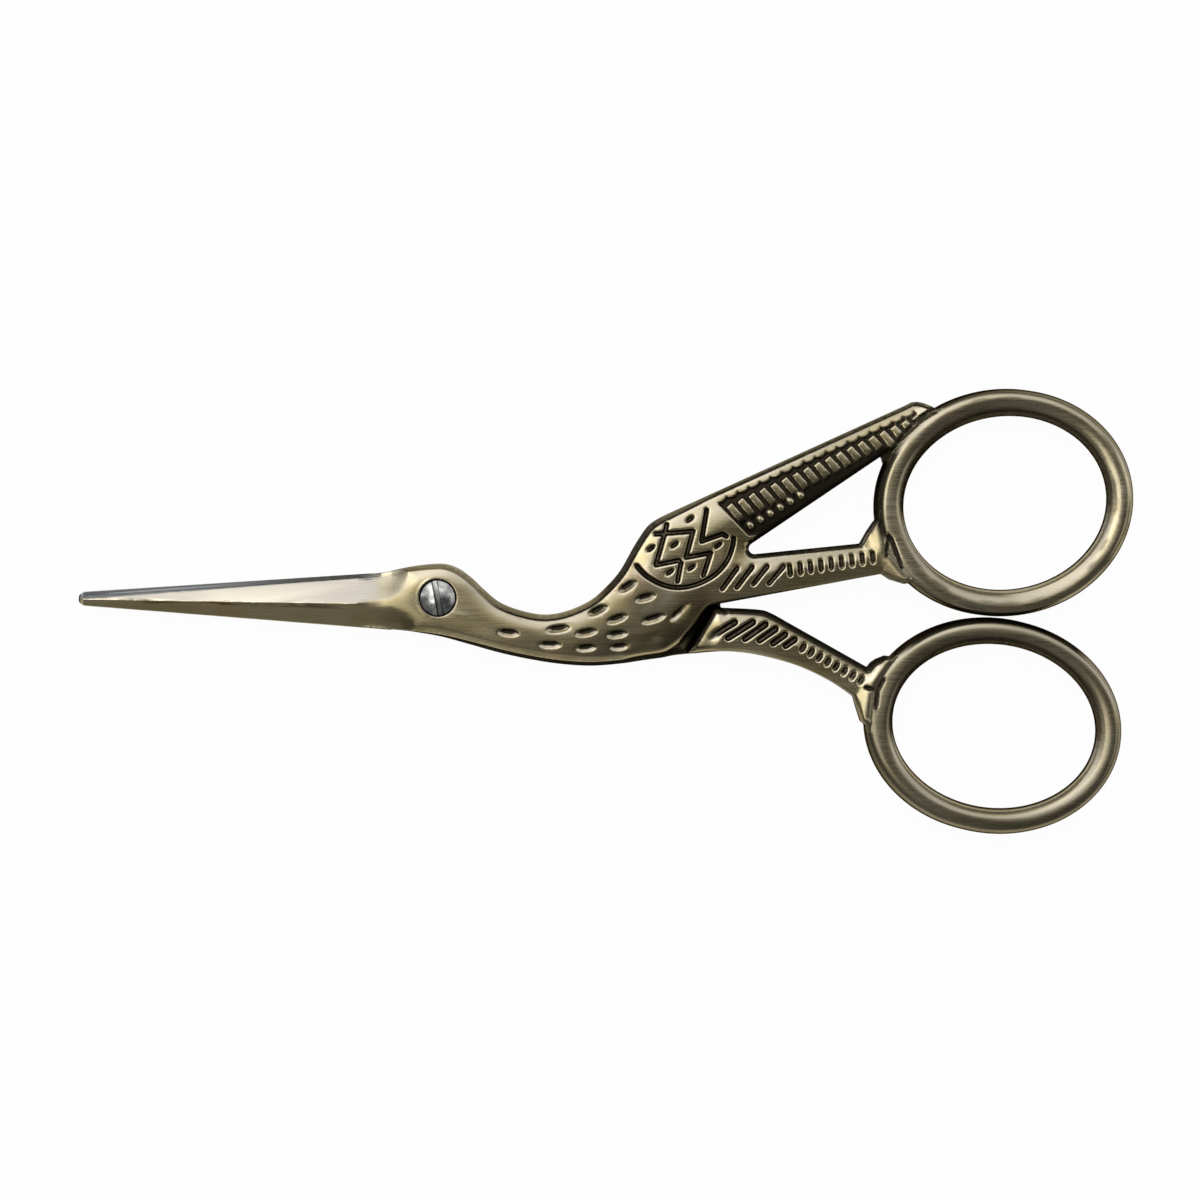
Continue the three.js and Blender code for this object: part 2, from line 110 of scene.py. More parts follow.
# Carving, as pixels of the photograph: where each cut starts and ends
FEATHER_CUTS = [
    ((497, 632), (520, 634)), ((546, 631), (571, 627.5)), ((538, 645), (562, 645)),
    ((575, 635), (598, 630.5)), ((575, 649), (597, 647)), ((588, 616), (608, 606)),
    ((607, 623), (628, 615)), ((606, 636), (628, 633)), ((609, 648), (631, 645.5)),
    ((619, 593), (637, 581)), ((635, 601), (656, 595)), ((641, 623), (666, 615)),
    ((669, 622), (690, 603)), ((643, 643), (661, 636)),
]
WING_BORDER = [
    (635, 564), (645.5, 575.5), (662, 584.6), (679, 587.5), (697, 584), (714.5, 574.5),
    (726, 561.5), (732, 546.5), (733, 536.5),
]
WING_BORDER_STEPS = 4
WING_NET = [
    [(706.5, 508), (701, 541.5), (722, 534), (728, 538)],
    [(653, 534.5), (692.5, 531.5), (685.5, 557.5), (710, 553), (702, 578)],
    [(667, 522.5), (664, 535), (655.5, 565), (681, 560)],
    [(681, 561), (676.5, 584)],
]
WING_DOTS = [(689.5, 519.5), (650.6, 548.5), (674, 545), (717.5, 545.5), (669.5, 572), (691, 567.5)]
WING_DOT_LENGTH, WING_DOT_WIDTH, WING_DOT_ANGLE = 1.3, 0.55, 38
TAIL_PANEL_END = [(921, 417), (893, 452), (873, 459), (800, 510), (760, 535), (748, 536)]
TAIL_WEB, TAIL_WEB_DEPTH = [(880.5, 453), (893, 446), (889, 462), (882.5, 463)], 0.5
TAIL_FIRST_BAR, TAIL_LAST_BAR, TAIL_BARS = (728.5, 505.5), (913.4, 417.2), 18
TAIL_BAR_LEAN = (0.645, 0.764)
TAIL_FIRST_LENGTH, TAIL_LAST_LENGTH = 22, 14.5
TAIL_END_LENGTHS = {14: 20, 15: 14, 16: 9, 17: 6.5}
TAIL_FIRST_CUSP, TAIL_LAST_CUSP = (714.2, 500.8), (911.8, 411.2)
TAIL_SCALLOP, TAIL_SCALLOP_STEPS = 4.3, 6
TAIL_BORDER_RIDGE = ((719.5, 507), (743, 532))
TAIL_FIRST_BEAD, TAIL_LAST_BEAD, TAIL_BEADS = (749.5, 525.5), (799.5, 495.5), 6
UPPER_LEG_SLANTS = [
    ((738, 566), (720, 591)), ((753, 565), (734.5, 589.5)), ((768, 564.5), (751, 586)),
    ((784.5, 564.5), (766.5, 585.5)),
]
UPPER_LEG_FIRST_TICK, UPPER_LEG_LAST_TICK, UPPER_LEG_TICKS = (789, 570.5), (871.5, 557.5), 9
UPPER_LEG_TICK_LEAN, UPPER_LEG_TICK_LENGTH = 0.6, 14
UPPER_COLLAR_CUTS = [[(888, 535), (885, 556)], [(889, 537), (900.5, 567.5)]]
LOWER_LEG_SLOTS = [
    ((737, 620.5), (704.5, 640.5)), ((755, 620.5), (724.5, 639.5)), ((767.5, 622.5), (741.5, 640.5)),
    ((777.5, 627), (756, 642)), ((787, 632.5), (769.5, 645)), ((796.5, 637.5), (782, 647.5)),
]
LOWER_LEG_FIRST_OVAL, LOWER_LEG_LAST_OVAL, LOWER_LEG_OVALS = (802, 647.5), (860, 680), 8
LOWER_LEG_OVAL_LEAN, LOWER_LEG_OVAL_LENGTH = (3.4, -5.8), 1.35
LOWER_COLLAR_CUTS = [[(883, 678), (876.5, 691), (874.5, 708)], [(864.5, 687), (871.5, 689)]]

# Carving tools: width and depth of each kind of cut
FEATHER_WIDTH, FEATHER_DEPTH, FEATHER_LEAN = 0.85, 0.3, 0.85
GOUGE_POINT = 0.45
NET_WIDTH, NET_DEPTH = 0.56, 0.36
PANEL_DEPTH = 0.3
BAR_WIDTH, BAR_RISE, BAR_DROOP = 0.8, 0.28, 0.2
BORDER_RIDGE_WIDTH, BORDER_RIDGE_RISE = 0.3, 0.16
BEAD_LENGTH, BEAD_WIDTH, BEAD_LEAN = 1.0, 0.8, (0.6, -0.8)
SEAM_WIDTH, SEAM_DEPTH = 0.34, 0.28
SLANT_WIDTH, SLANT_DEPTH = 0.58, 0.34
SLOT_WIDTH, SLOT_DEPTH = 0.74, 0.42
OVAL_WIDTH, OVAL_DEPTH = 0.72, 0.38
COLLAR_WIDTH, COLLAR_DEPTH = 0.56, 0.36

# Weathering, painted shade and painted highlights: amounts run from 0 to 1. A pair says where a mark starts
# and
# where it is full: FACING by how far a surface looks to +Y, FLAT by how far it looks to either face, DEPTH by
# depth under the face, ALONG by X.
# Chamfers: patina with painted shade, darker on the edges that face +Y, painted shade along the gap, and a
# painted shadow line inside the upper edges.
UPPER_RIM_PATINA_AND_SHADE = [
    (-4.5, 0.42), (-1.5, 0.17), (2, 0.17), (7, 0.38), (12, 0.1), (16.5, 0.15), (18.5, 0.88),
    (22.5, 0.88), (25, 0.52),
]
UPPER_EDGE_FACING, LOWER_RIM_PATINA = (-0.3, 0.2), 0.16
RIM_MARGIN, RIM_FADE_IN, RIM_FADE_OUT, RIM_DEPTH = 0.03, 0.1, 0.12, (0.02, 0.16)
RIM_SHADOW_LINE, RIM_LINE_SHIFT, RIM_LINE_REACH = 0.97, 0.04, (0.07, 0.19)
RIM_LINE_FACING, RIM_LINE_ALONG = (0.0, 0.16), (3, 8)
GAP_RIM_SHADE, GAP_RIM_WIDTH, GAP_WEAR = 0.95, 1.6, 0.4
CARVED_DEPTH, CARVED_ALONG, OUTER_LIFT = (0.12, 0.22), (-0.8, 0.4), 0.15
RAGGED_DEPTH, RAGGED_SIZE = 0.04, 0.22
# Painted highlight: the cuts' lips that face +Y lose their patina.
LIP_HIGHLIGHT, LIP_FACING, LIP_FLAT, LIP_DEPTH = 0.92, (0.05, 0.3), (0.72, 0.86), (0.13, 0.24)
CUT_PALENESS, CUT_MOTTLE, CUT_MOTTLE_SIZE, CUT_FLAT = 0.12, 0.1, 0.6, (0.85, 0.97)
# Painted shade on the walls, the lap's ledges and the screw's recess, and painted shadow on the legs' tops.
WALL_SHADE, WALL_SLOPE = 0.93, (0.8, 0.98)
LAP_SHADOW, LAP_DEPTH, LAP_CORNER_REACH, LEDGE_WIDTH = 0.96, 0.4, 26.5, 0.9
RECESS_SHADE, RECESS_START, RECESS_END, MARK_PATINA = 0.95, 0.1, 0.26, 0.95
LEG_TOP_SHADOW, LEG_LEFT, LEG_HIGH = 0.97, 26, -0.5
LEG_TOP_REACH, LEG_TOP_FACING = (0.62, 0.8), (0.02, 0.12)
FILM, BODY_FILM, FILM_MOTTLE, FILM_MOTTLE_SIZE = 0.37, 0.17, 0.25, 4.0
FILM_START, FILM_END, BODY_FILM_ALONG, WING_FADE = (2.5, 7.0), (28.5, 31.0), (14.0, 19.0), 0.5
# Painted highlight: the film is lifted off faces that look to +Y.
FILM_SHEEN, FILM_SHEEN_FACING = 0.85, (0.05, 0.13)
HEAD_FILM, HEAD_FILM_START, HEAD_FILM_END, HEAD_FILM_TOP = 0.3, (-8.0, -4.5), (3.0, 6.0), (0.9, 1.9)
SPECK_PATINA, SPECK_SIZE, SPECK_REACH, SPECK_SHARE = 0.7, 0.28, (0.05, 0.4), (-0.1, 0.35)
NOSE_PATINA, NOSE_START, NOSE_END = 0.9, 0.1, 0.4
POLISH_RAGGED, POLISH_GRAIN, POLISH_END, POLISH_FACING = 0.9, 1.1, (-7.0, -4.4), (0.05, 0.2)
# Crest: painted highlight, faces that look a little to +Y are made paler.
CREST_SHEEN, CREST_START, CREST_END, RING_POLISH = 0.6, (0.06, 0.16), (0.35, 0.5), 0.3
CREST_HIGHLIGHT, RING_CREST_HIGHLIGHT, CREST_ALONG = 0.9, 0.4, (-3, 0)
# Painted shade: edges that face -Y keep only a share of their wear.
WORN_BEND, BEND_PASSES, LOW_EDGE_SHADED_WEAR, LOW_EDGE_FACING = (0.02, 0.12), 3, 0.35, (-0.15, 0.05)
STRIP_FLAT, STRIP_FACING, STRIP_END = 0.2, (0.4, 0.55), (-8.5, -6.0)
STRIP_PATINA, STRIP_PATINA_ALONG = 0.7, (-33, -12)

# Weathering and painted shade of the rings: EDGE pairs run across the rod, from 0 at the bore to 1 at its
# outer edge
RING_RIM = (0.99, 1.05)
# The bore's and the flank's darkness follow their facing as painted shade, and stains are lifted where they
# face +Y as a painted highlight.
BORE_PATINA, RIGHT_BORE_SHADE, LIT_BORE_LOSS, BORE_EDGE = 0.86, 0.11, 0.85, (0.15, 0.36)
LIT_BORE_FACING, RIGHT_BORE_LOOKING = (0.0, 0.4), (0.2, 0.6)
FLANK_PATINA_AND_SHADE, FLANK_UP, FLANK_RIGHT, FLANK_LIMITS, FLANK_EDGE = 0.55, 0.4, 0.35, (0.1, 0.95), (0.74, 0.98)
SHADE_PATINA, SHADE_EDGE = 0.97, (0.73, 0.82)
STAIN_PATINA, STAIN_SHARE, STAIN_ROUND, STAIN_ACROSS = 0.45, (0.05, 0.45), 5, 7
STAIN_SHEEN, STAIN_SHEEN_FACING = 0.9, (0.1, 0.35)


# Selecting and finishing, as by hand

def only(piece):
    bpy.ops.object.select_all(action="DESELECT")
    piece.select_set(True)
    bpy.context.view_layer.objects.active = piece


def finish_with(piece, kind, **settings):
    """Adds one modifier to a piece and applies it."""
    only(piece)
    modifier = piece.modifiers.new(kind.title(), kind)
    for setting, value in settings.items():
        setattr(modifier, setting, value)
    bpy.ops.object.modifier_apply(modifier=modifier.name)


def joined(pieces):
    only(pieces[0])
    for piece in pieces:
        piece.select_set(True)
    bpy.ops.object.join()
    return pieces[0]


def positions(piece):
    flat = np.empty(len(piece.data.vertices) * 3, np.float32)
    piece.data.vertices.foreach_get("co", flat)
    return flat.reshape(-1, 3).astype(float)


def normals(piece):
    flat = np.empty(len(piece.data.vertices) * 3, np.float32)
    piece.data.vertex_normals.foreach_get("vector", flat)
    return flat.reshape(-1, 3).astype(float)


def move_to(piece, places):
    piece.data.vertices.foreach_set("co", places.astype(np.float32).ravel())
    piece.data.update()


def smoothstep(value, low, high):
    share = np.clip((value - low) / (high - low), 0, 1)
    return share * share * (3 - 2 * share)


def from_photo(pixel):
    """The place, in millimetres from the pivot axis, of a pixel of the photograph."""
    return Vector((pixel[0] - PIVOT_PIXEL.x, PIVOT_PIXEL.y - pixel[1])) * MM_PER_PIXEL


RIDGE_TIP, RIDGE_ROOT = from_photo((100, 600)), from_photo((355, 607))
WING_CENTRE, WING_RADIUS = from_photo((681, 535)), 5.8
TAIL_LOW_START, TAIL_LOW_END = from_photo((744, 545)), from_photo((884, 452))


# Cutters

def cutter_model():
    """A ball with its poles on X, one half of it drawn out by one unit: the pattern of every cutter."""
    bpy.ops.object.select_all(action="DESELECT")
    bpy.ops.mesh.primitive_uv_sphere_add(segments=14, ring_count=10, radius=1, rotation=(0, math.pi / 2, 0))
    ball = bpy.context.object
    bpy.ops.object.transform_apply(location=False)
    bpy.ops.object.mode_set(mode="EDIT")
    bpy.ops.mesh.select_mode(type="FACE")
    bpy.ops.mesh.select_all(action="DESELECT")
    bpy.ops.object.mode_set(mode="OBJECT")
    for face in ball.data.polygons:
        face.select = face.center.x > 0
    bpy.ops.object.mode_set(mode="EDIT")
    bpy.ops.mesh.extrude_region_move(TRANSFORM_OT_translate={"value": (1, 0, 0)})
    bpy.ops.object.mode_set(mode="OBJECT")
    return ball


CUTTER = cutter_model()
CUTTER_PLACES = positions(CUTTER)


def placed_cutter(places, start, run, height):
    """A copy of the cutter with its own mesh, turned along a run and set down at its start."""
    along = run.normalized()
    turned = np.stack([
        start.x + places[:, 0] * along.x - places[:, 1] * along.y,
        start.y + places[:, 0] * along.y + places[:, 1] * along.x,
        height + places[:, 2]], axis=-1)
    cutter = CUTTER.copy()
    cutter.data = CUTTER.data.copy()
    bpy.context.scene.collection.objects.link(cutter)
    move_to(cutter, turned)
    return cutter


def round_cut(start, end, width, depth, height):
    """A cutter with a ball at each of two places and a straight run between them."""
    run = end - start
    places = CUTTER_PLACES * (width / 2, width / 2, depth)
    places[:, 0] += np.where(CUTTER_PLACES[:, 0] > 0.5, run.length - width / 2, 0)
    return placed_cutter(places, start, run, height)


def gouge_cut(start, end, width, depth, height, lean=0.0):
    """A cutter that leaves a boat-shaped gouge, deeper towards its left side where it leans."""
    run = end - start
    pattern = CUTTER_PLACES - (0.5, 0, 0)
    pattern[:, 1:] *= 1 - GOUGE_POINT * (pattern[:, :1] / 1.5) ** 2
    places = pattern * (run.length / 3, width / 2, depth)
    sign = 1 if height > MIDDLE_Z else -1
    places[:, 1] -= lean * sign * places[:, 2]
    return placed_cutter(places, (start + end) / 2, run, height)


def line_cuts(pixels, width, depth, height):
    """Cutters along a line of pixels, whose round ends stop at its first and last one."""
    places = [from_photo(pixel) for pixel in pixels]
    places[0] += (places[1] - places[0]).normalized() * width / 2
    places[-1] += (places[-2] - places[-1]).normalized() * width / 2
    return [round_cut(a, b, width, depth, height) for a, b in zip(places, places[1:])]


def curve_through(pixels, steps):
    """A smooth line of pixels through the given ones."""
    knots = [Vector(pixel) for pixel in [pixels[0]] + pixels + [pixels[-1]]]
    line = []
    for a, b, c, d in zip(knots, knots[1:], knots[2:], knots[3:]):
        for step in range(steps):
            t = step / steps
            bow = (2 * a - 5 * b + 4 * c - d) * t + (3 * b - a - 3 * c + d) * t * t
            line.append(b + (c - a + bow) * t / 2)
    return line + [knots[-1]]


def strokes_of(lines):
    """Start and end of every straight stroke in lines of pixels."""
    return [(from_photo(a), from_photo(b)) for line in lines for a, b in zip(line, line[1:])]


def between(first, last, count):
    """Evenly spaced pixels from a first to a last one."""
    first, last = Vector(first), Vector(last)
    return [first.lerp(last, step / (count - 1)) for step in range(count)]


def feather_cuts(height):
    cuts = []
    for start, end in FEATHER_CUTS:
        a, b = from_photo(start), from_photo(end)
        cuts.append(gouge_cut(a, b, FEATHER_WIDTH, FEATHER_DEPTH, height, FEATHER_LEAN))
    return cuts


def wing_cuts(height):
    cuts = line_cuts(curve_through(WING_BORDER, WING_BORDER_STEPS), NET_WIDTH, NET_DEPTH, height)
    for line in WING_NET:
        cuts += line_cuts(line, NET_WIDTH, NET_DEPTH, height)
    lean = Vector((math.cos(math.radians(WING_DOT_ANGLE)), math.sin(math.radians(WING_DOT_ANGLE))))
    for dot in WING_DOTS:
        middle, reach = from_photo(dot), lean * WING_DOT_LENGTH / 2
        cuts.append(gouge_cut(middle - reach, middle + reach, WING_DOT_WIDTH, NET_DEPTH, height))
    return cuts


def prism(corners, low, heights, name):
    """A closed block over an outline, from one height up to a height for each corner."""
    count = len(corners)
    places = [(*corner, low) for corner in corners]
    places += [(*corner, height) for corner, height in zip(corners, heights)]
    faces = [list(range(count))[::-1], list(range(count, 2 * count))]
    for i in range(count):
        j = (i + 1) % count
        faces.append([i, j, count + j, count + i])
    mesh = bpy.data.meshes.new(name)
    mesh.from_pydata(places, [], faces)
    block = bpy.data.objects.new(name, mesh)
    bpy.context.scene.collection.objects.link(block)
    only(block)
    bpy.ops.object.mode_set(mode="EDIT")
    bpy.ops.mesh.select_all(action="SELECT")
    bpy.ops.mesh.normals_make_consistent(inside=False)
    bpy.ops.object.mode_set(mode="OBJECT")
    return block


def flat_bar(start, end, width, rise, floor, side):
    """A raised square bar whose flat top sinks towards its end."""
    along = (end - start).normalized()
    across = Vector((-along.y, along.x)) * width / 2
    top, foot = floor + side * rise, floor + side * (rise - BAR_DROOP)
    corners = [start - across, end - across, end + across, start + across]
    return prism(corners, floor - side * rise, [top, foot, foot, top], "bar")


def tail_panel(height):
    """The sunk panel of the tail, with scallops along its top edge, cut out before its bars are laid in."""
    side = 1 if height > MIDDLE_Z else -1
    cusps = between(TAIL_FIRST_CUSP, TAIL_LAST_CUSP, TAIL_BARS + 1)
    along = (cusps[-1] - cusps[0]).normalized()
    inward = Vector((-along.y, along.x)) * TAIL_SCALLOP
    outline = [cusps[0]]
    for a, b in zip(cusps, cusps[1:]):
        for step in range(1, TAIL_SCALLOP_STEPS):
            turn = math.pi * step / TAIL_SCALLOP_STEPS
            outline.append(a.lerp(b, (1 - math.cos(turn)) / 2) + inward * math.sin(turn))
        outline.append(b)
    corners = [from_photo(pixel) for pixel in outline + TAIL_PANEL_END]
    return [prism(corners, height - side * PANEL_DEPTH, [height + side] * len(corners), "tail_panel")]


def tail_relief(height):
    """Raised bars in the sunk panel, the ridge along its border and the beads at its foot."""
    side = 1 if height > MIDDLE_Z else -1
    floor = height - side * PANEL_DEPTH
    last_even = TAIL_BARS - len(TAIL_END_LENGTHS) - 1
    raised = []
    for number, bar in enumerate(between(TAIL_FIRST_BAR, TAIL_LAST_BAR, TAIL_BARS)):
        length = TAIL_FIRST_LENGTH + (TAIL_LAST_LENGTH - TAIL_FIRST_LENGTH) * number / last_even
        foot = bar + Vector(TAIL_BAR_LEAN) * TAIL_END_LENGTHS.get(number, length)
        raised.append(flat_bar(from_photo(bar), from_photo(foot), BAR_WIDTH, BAR_RISE, floor, side))
    start, end = (from_photo(pixel) for pixel in TAIL_BORDER_RIDGE)
    raised.append(flat_bar(start, end, BORDER_RIDGE_WIDTH, BORDER_RIDGE_RISE, floor, side))
    reach = Vector(BEAD_LEAN) * BEAD_LENGTH / 2
    for bead in between(TAIL_FIRST_BEAD, TAIL_LAST_BEAD, TAIL_BEADS):
        middle = from_photo(bead)
        raised.append(gouge_cut(middle - reach, middle + reach, BEAD_WIDTH, BAR_RISE, floor))
    return raised


def tail_web():
    """The blunt corner between the tail's lower edge and the ring."""
    corners = [from_photo(pixel) for pixel in TAIL_WEB]
    return prism(corners, TAIL_WEB_DEPTH, [TOP_Z - TAIL_WEB_DEPTH] * len(corners), "tail_web")


def seam_strokes():
    """The line where the ring passes over the end of the tail."""
    turn = np.radians(np.linspace(TAIL_SEAM_START, TAIL_SEAM_END, TAIL_SEAM_STEPS))
    places = [Vector(place[:2]) for place in ring_places(UPPER_RING, turn[:, None], np.zeros((1, 1)))[:, 0]]
    return list(zip(places, places[1:]))


def tail_seam(height):
    return [round_cut(a, b, SEAM_WIDTH, SEAM_DEPTH, height) for a, b in seam_strokes()]


def upper_leg_cuts(height):
    cuts = []
    for start, end in UPPER_LEG_SLANTS:
        cuts += line_cuts([start, end], SLANT_WIDTH, SLANT_DEPTH, height)
    reach = Vector((UPPER_LEG_TICK_LEAN, UPPER_LEG_TICK_LENGTH / 2))
    for tick in between(UPPER_LEG_FIRST_TICK, UPPER_LEG_LAST_TICK, UPPER_LEG_TICKS):
        cuts += line_cuts([tick - reach, tick + reach], SLANT_WIDTH, SLANT_DEPTH, height)
    return cuts


def lower_leg_cuts(height):
    cuts = []
    for start, end in LOWER_LEG_SLOTS:
        cuts += line_cuts([start, end], SLOT_WIDTH, SLOT_DEPTH, height)
    lean = Vector((LOWER_LEG_OVAL_LEAN[0], -LOWER_LEG_OVAL_LEAN[1])).normalized()
    reach = lean * LOWER_LEG_OVAL_LENGTH / 2
    for oval in between(LOWER_LEG_FIRST_OVAL, LOWER_LEG_LAST_OVAL, LOWER_LEG_OVALS):
        middle = from_photo(oval)
        cuts.append(gouge_cut(middle - reach, middle + reach, OVAL_WIDTH, OVAL_DEPTH, height))
    return cuts


def collar_cuts(lines, height):
    cuts = []
    for line in lines:
        cuts += line_cuts(line, COLLAR_WIDTH, COLLAR_DEPTH, height)
    return cuts


# Castings

def blank_of(node, name):
    """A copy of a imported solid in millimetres, with its shared corners merged."""
    mesh = frame["nodes"][node].data.copy()
    mesh.materials.clear()
    blank = bpy.data.objects.new(name, mesh)
    bpy.context.scene.collection.objects.link(blank)
    blank.scale = (1 / MM, 1 / MM, 1 / MM)
    only(blank)
    bpy.ops.object.transform_apply()
    bpy.ops.object.mode_set(mode="EDIT")
    bpy.ops.mesh.select_all(action="SELECT")
    bpy.ops.mesh.remove_doubles(threshold=0.001)
    bpy.ops.object.mode_set(mode="OBJECT")
    return blank


def ring_polar(places, ring):
    """How far out places lie from a ring's centre, 1 on the rod's outer edge, and their turn in degrees."""
    tilt = math.radians(ring["tilt"])
    x, y = places[:, 0] - ring["centre"][0], places[:, 1] - ring["centre"][1]
    across = (x * math.cos(tilt) + y * math.sin(tilt)) / (ring["bore"][0] + ring["rod"])
    up = (y * math.cos(tilt) - x * math.sin(tilt)) / (ring["bore"][1] + ring["rod"])
    return np.hypot(across, up), np.degrees(np.arctan2(up, across)) % 360


def ring_share(places, ring):
    return ring_polar(places, ring)[0]


def outline_of(blank, upper, ring):
    """Close places along the upright walls of one layer, without the tail's lower edge."""
    mesh = blank.data
    places = []
    for face in mesh.polygons:
        on_layer = (face.center.z > MIDDLE_Z) == upper
        near_screw = Vector(face.center[:2]).length < SCREW_HIGH.x * 1.4
        below_tail = face.center.x > GAP_LEFT and face.center.y > GAP_LOW and face.normal.y < -0.3
        if abs(face.normal.z) > 0.1 or not on_layer or near_screw or below_tail:
            continue
        corners = [Vector(mesh.vertices[v].co[:2]) for v in face.vertices]
        for a, b in zip(corners, corners[1:] + corners[:1]):
            steps = max(1, int((b - a).length / 0.1))
            places += [a.lerp(b, step / steps) for step in range(steps)]
    outside = ring_share(np.array(places), ring) > 0.99
    tree = KDTree(int(outside.sum()))
    for number in np.nonzero(outside)[0]:
        tree.insert((*places[number], 0), int(number))
    tree.balance()
    return tree


def shank_thickness(x):
    """The legs and the tail get thinner towards the rings."""
    return 1 + (SHANK_TAPER - 1) * smoothstep(x, SHANK_TAPER_START, SHANK_TAPER_END)


def taper_shank(piece):
    places = positions(piece)
    places[:, 2] = MIDDLE_Z + (places[:, 2] - MIDDLE_Z) * shank_thickness(places[:, 0])
    move_to(piece, places)


def sliced_shank(piece):
    """Cuts edges across the legs and the tail, close enough together to follow the taper."""
    only(piece)
    bpy.ops.object.mode_set(mode="EDIT")
    for x in np.linspace(SHANK_TAPER_START, SHANK_TAPER_END, SHANK_PLANES):
        bpy.ops.mesh.select_all(action="SELECT")
        bpy.ops.mesh.bisect(plane_co=(float(x), 0, 0), plane_no=(1, 0, 0))
    bpy.ops.object.mode_set(mode="OBJECT")


def ring_places(ring, turn, around):
    """Places on a ring's rod: a rounded section carried round the bore's ellipse, wider towards the leg."""
    tilt = math.radians(ring["tilt"])
    swell = RING_SWELL * np.clip(np.cos(turn + tilt - math.radians(ring["swell"])), 0, None)
    away = np.abs(np.degrees(turn) - ring["leg"]) / ring["leg_spread"]
    flat = np.exp(-away * away)
    squareness = RING_SQUARENESS + (RING_FLAT_SQUARENESS - RING_SQUARENESS) * flat
    across, up = np.cos(around), np.sin(around)
    across = np.sign(across) * np.abs(across) ** (2 / squareness)
    up = np.sign(up) * np.abs(up) ** (2 / squareness)
    out = (ring["rod"] + swell) / 2 * (1 + across)
    dish = ring["dish"] * (1 - flat) * np.clip(ring["dish_reach"] + np.cos(turn), 0, 1)
    rise = (RING_HALF_HEIGHT + RING_SHOULDER_RISE * flat) * (1 - dish * (1 - across) / 2)
    rise *= 1 - RING_SHOULDER_LEAN * flat * (1 + across) / 2
    x, y = (ring["bore"][0] + out) * np.cos(turn), (ring["bore"][1] + out) * np.sin(turn)
    return np.stack([
        ring["centre"][0] + x * math.cos(tilt) - y * math.sin(tilt),
        ring["centre"][1] + x * math.sin(tilt) + y * math.cos(tilt),
        MIDDLE_Z + rise * up], axis=-1)


def ring_rod(ring, name):
    turn = np.linspace(0, 2 * math.pi, RING_STATIONS, endpoint=False)[:, None]
    around = np.linspace(0, 2 * math.pi, RING_SECTION, endpoint=False)[None, :]
    places = ring_places(ring, turn, around)
    faces = []
    for i in range(RING_STATIONS):
        for j in range(RING_SECTION):
            k, n = (j + 1) % RING_SECTION, (i + 1) % RING_STATIONS
            corners = (i, j), (n, j), (n, k), (i, k)
            faces.append([a * RING_SECTION + b for a, b in corners])
    mesh = bpy.data.meshes.new(name)
    mesh.from_pydata(places.reshape(-1, 3).tolist(), [], faces)
    rod = bpy.data.objects.new(name, mesh)
    bpy.context.scene.collection.objects.link(rod)
    return rod


def narrowed(x):
    """How far the chamfers have become narrow, towards the tail and the legs."""
    return smoothstep(x, NARROW_START, NARROW_END)


def bevel_at(x):
    return BEVEL_WIDTH + (NARROW_BEVEL - BEVEL_WIDTH) * narrowed(x)


def measured(places, tree, ring):
    """Each place's distance to the outline, and how much the face has fallen there, up to its chamfer."""
    x = places[:, 0]
    distance = np.full(len(places), BODY_CROWN_WIDTH)
    plate = (x > BLADE_END - 1) & (ring_share(places, ring) > 0.98)
    for index in np.nonzero(plate)[0]:
        _, _, gap = tree.find((places[index, 0], places[index, 1], 0))
        distance[index] = min(gap, BODY_CROWN_WIDTH)
    broad = smoothstep(x, CROWN_START, CROWN_END)
    width = HEAD_CROWN_WIDTH + (BODY_CROWN_WIDTH - HEAD_CROWN_WIDTH) * broad
    drop = HEAD_CROWN_DROP + (BODY_CROWN_DROP - HEAD_CROWN_DROP) * broad
    share = np.clip(1 - np.maximum(distance, bevel_at(x)) / width, 0, 1)
    fade = smoothstep(ring_share(places, ring), 1.0, 1.1) * smoothstep(x, BLADE_END - 1, BLADE_END + 2)
    return distance, drop * share * share * fade


def edge_ends(piece):
    ends = np.empty(len(piece.data.edges) * 2, np.int32)
    piece.data.edges.foreach_get("vertices", ends)
    return ends[0::2], ends[1::2]


def neighbour_mean(ends, values):
    """Each vertex's mean over the vertices that it shares an edge with."""
    first, second = ends
    size = len(values)
    total = np.bincount(first, values[second], size) + np.bincount(second, values[first], size)
    count = np.bincount(first, minlength=size) + np.bincount(second, minlength=size)
    return np.where(count > 0, total / np.maximum(count, 1), values)


def passes_for(blur):
    """How many smoothing passes of half strength blur the mesh by a width."""
    return math.ceil(4 * (blur / VOXEL) ** 2)


def crown(piece, tree, upper, ring):
    """Lets the flat face of one layer fall away softly to its outline, and narrows its chamfer."""
    places, ends = positions(piece), edge_ends(piece)
    side = 1 if upper else -1
    lift = side * (places[:, 2] - MIDDLE_Z)
    distance, fall = measured(places, tree, ring)
    gate = smoothstep(lift, 0.2, 0.8)
    fall *= gate
    for _ in range(passes_for(CROWN_BLUR)):
        fall = (fall + neighbour_mean(ends, fall)) / 2
    wide, narrow = np.clip(BEVEL_WIDTH - distance, 0, None), np.clip(NARROW_BEVEL - distance, 0, None)
    raised = (wide - narrow) * BEVEL_DEPTH / BEVEL_WIDTH * narrowed(places[:, 0])
    raised *= gate
    for _ in range(passes_for(NARROW_BLUR)):
        raised = (raised + neighbour_mean(ends, raised)) / 2
    places[:, 2] += side * (raised - fall)
    move_to(piece, places)


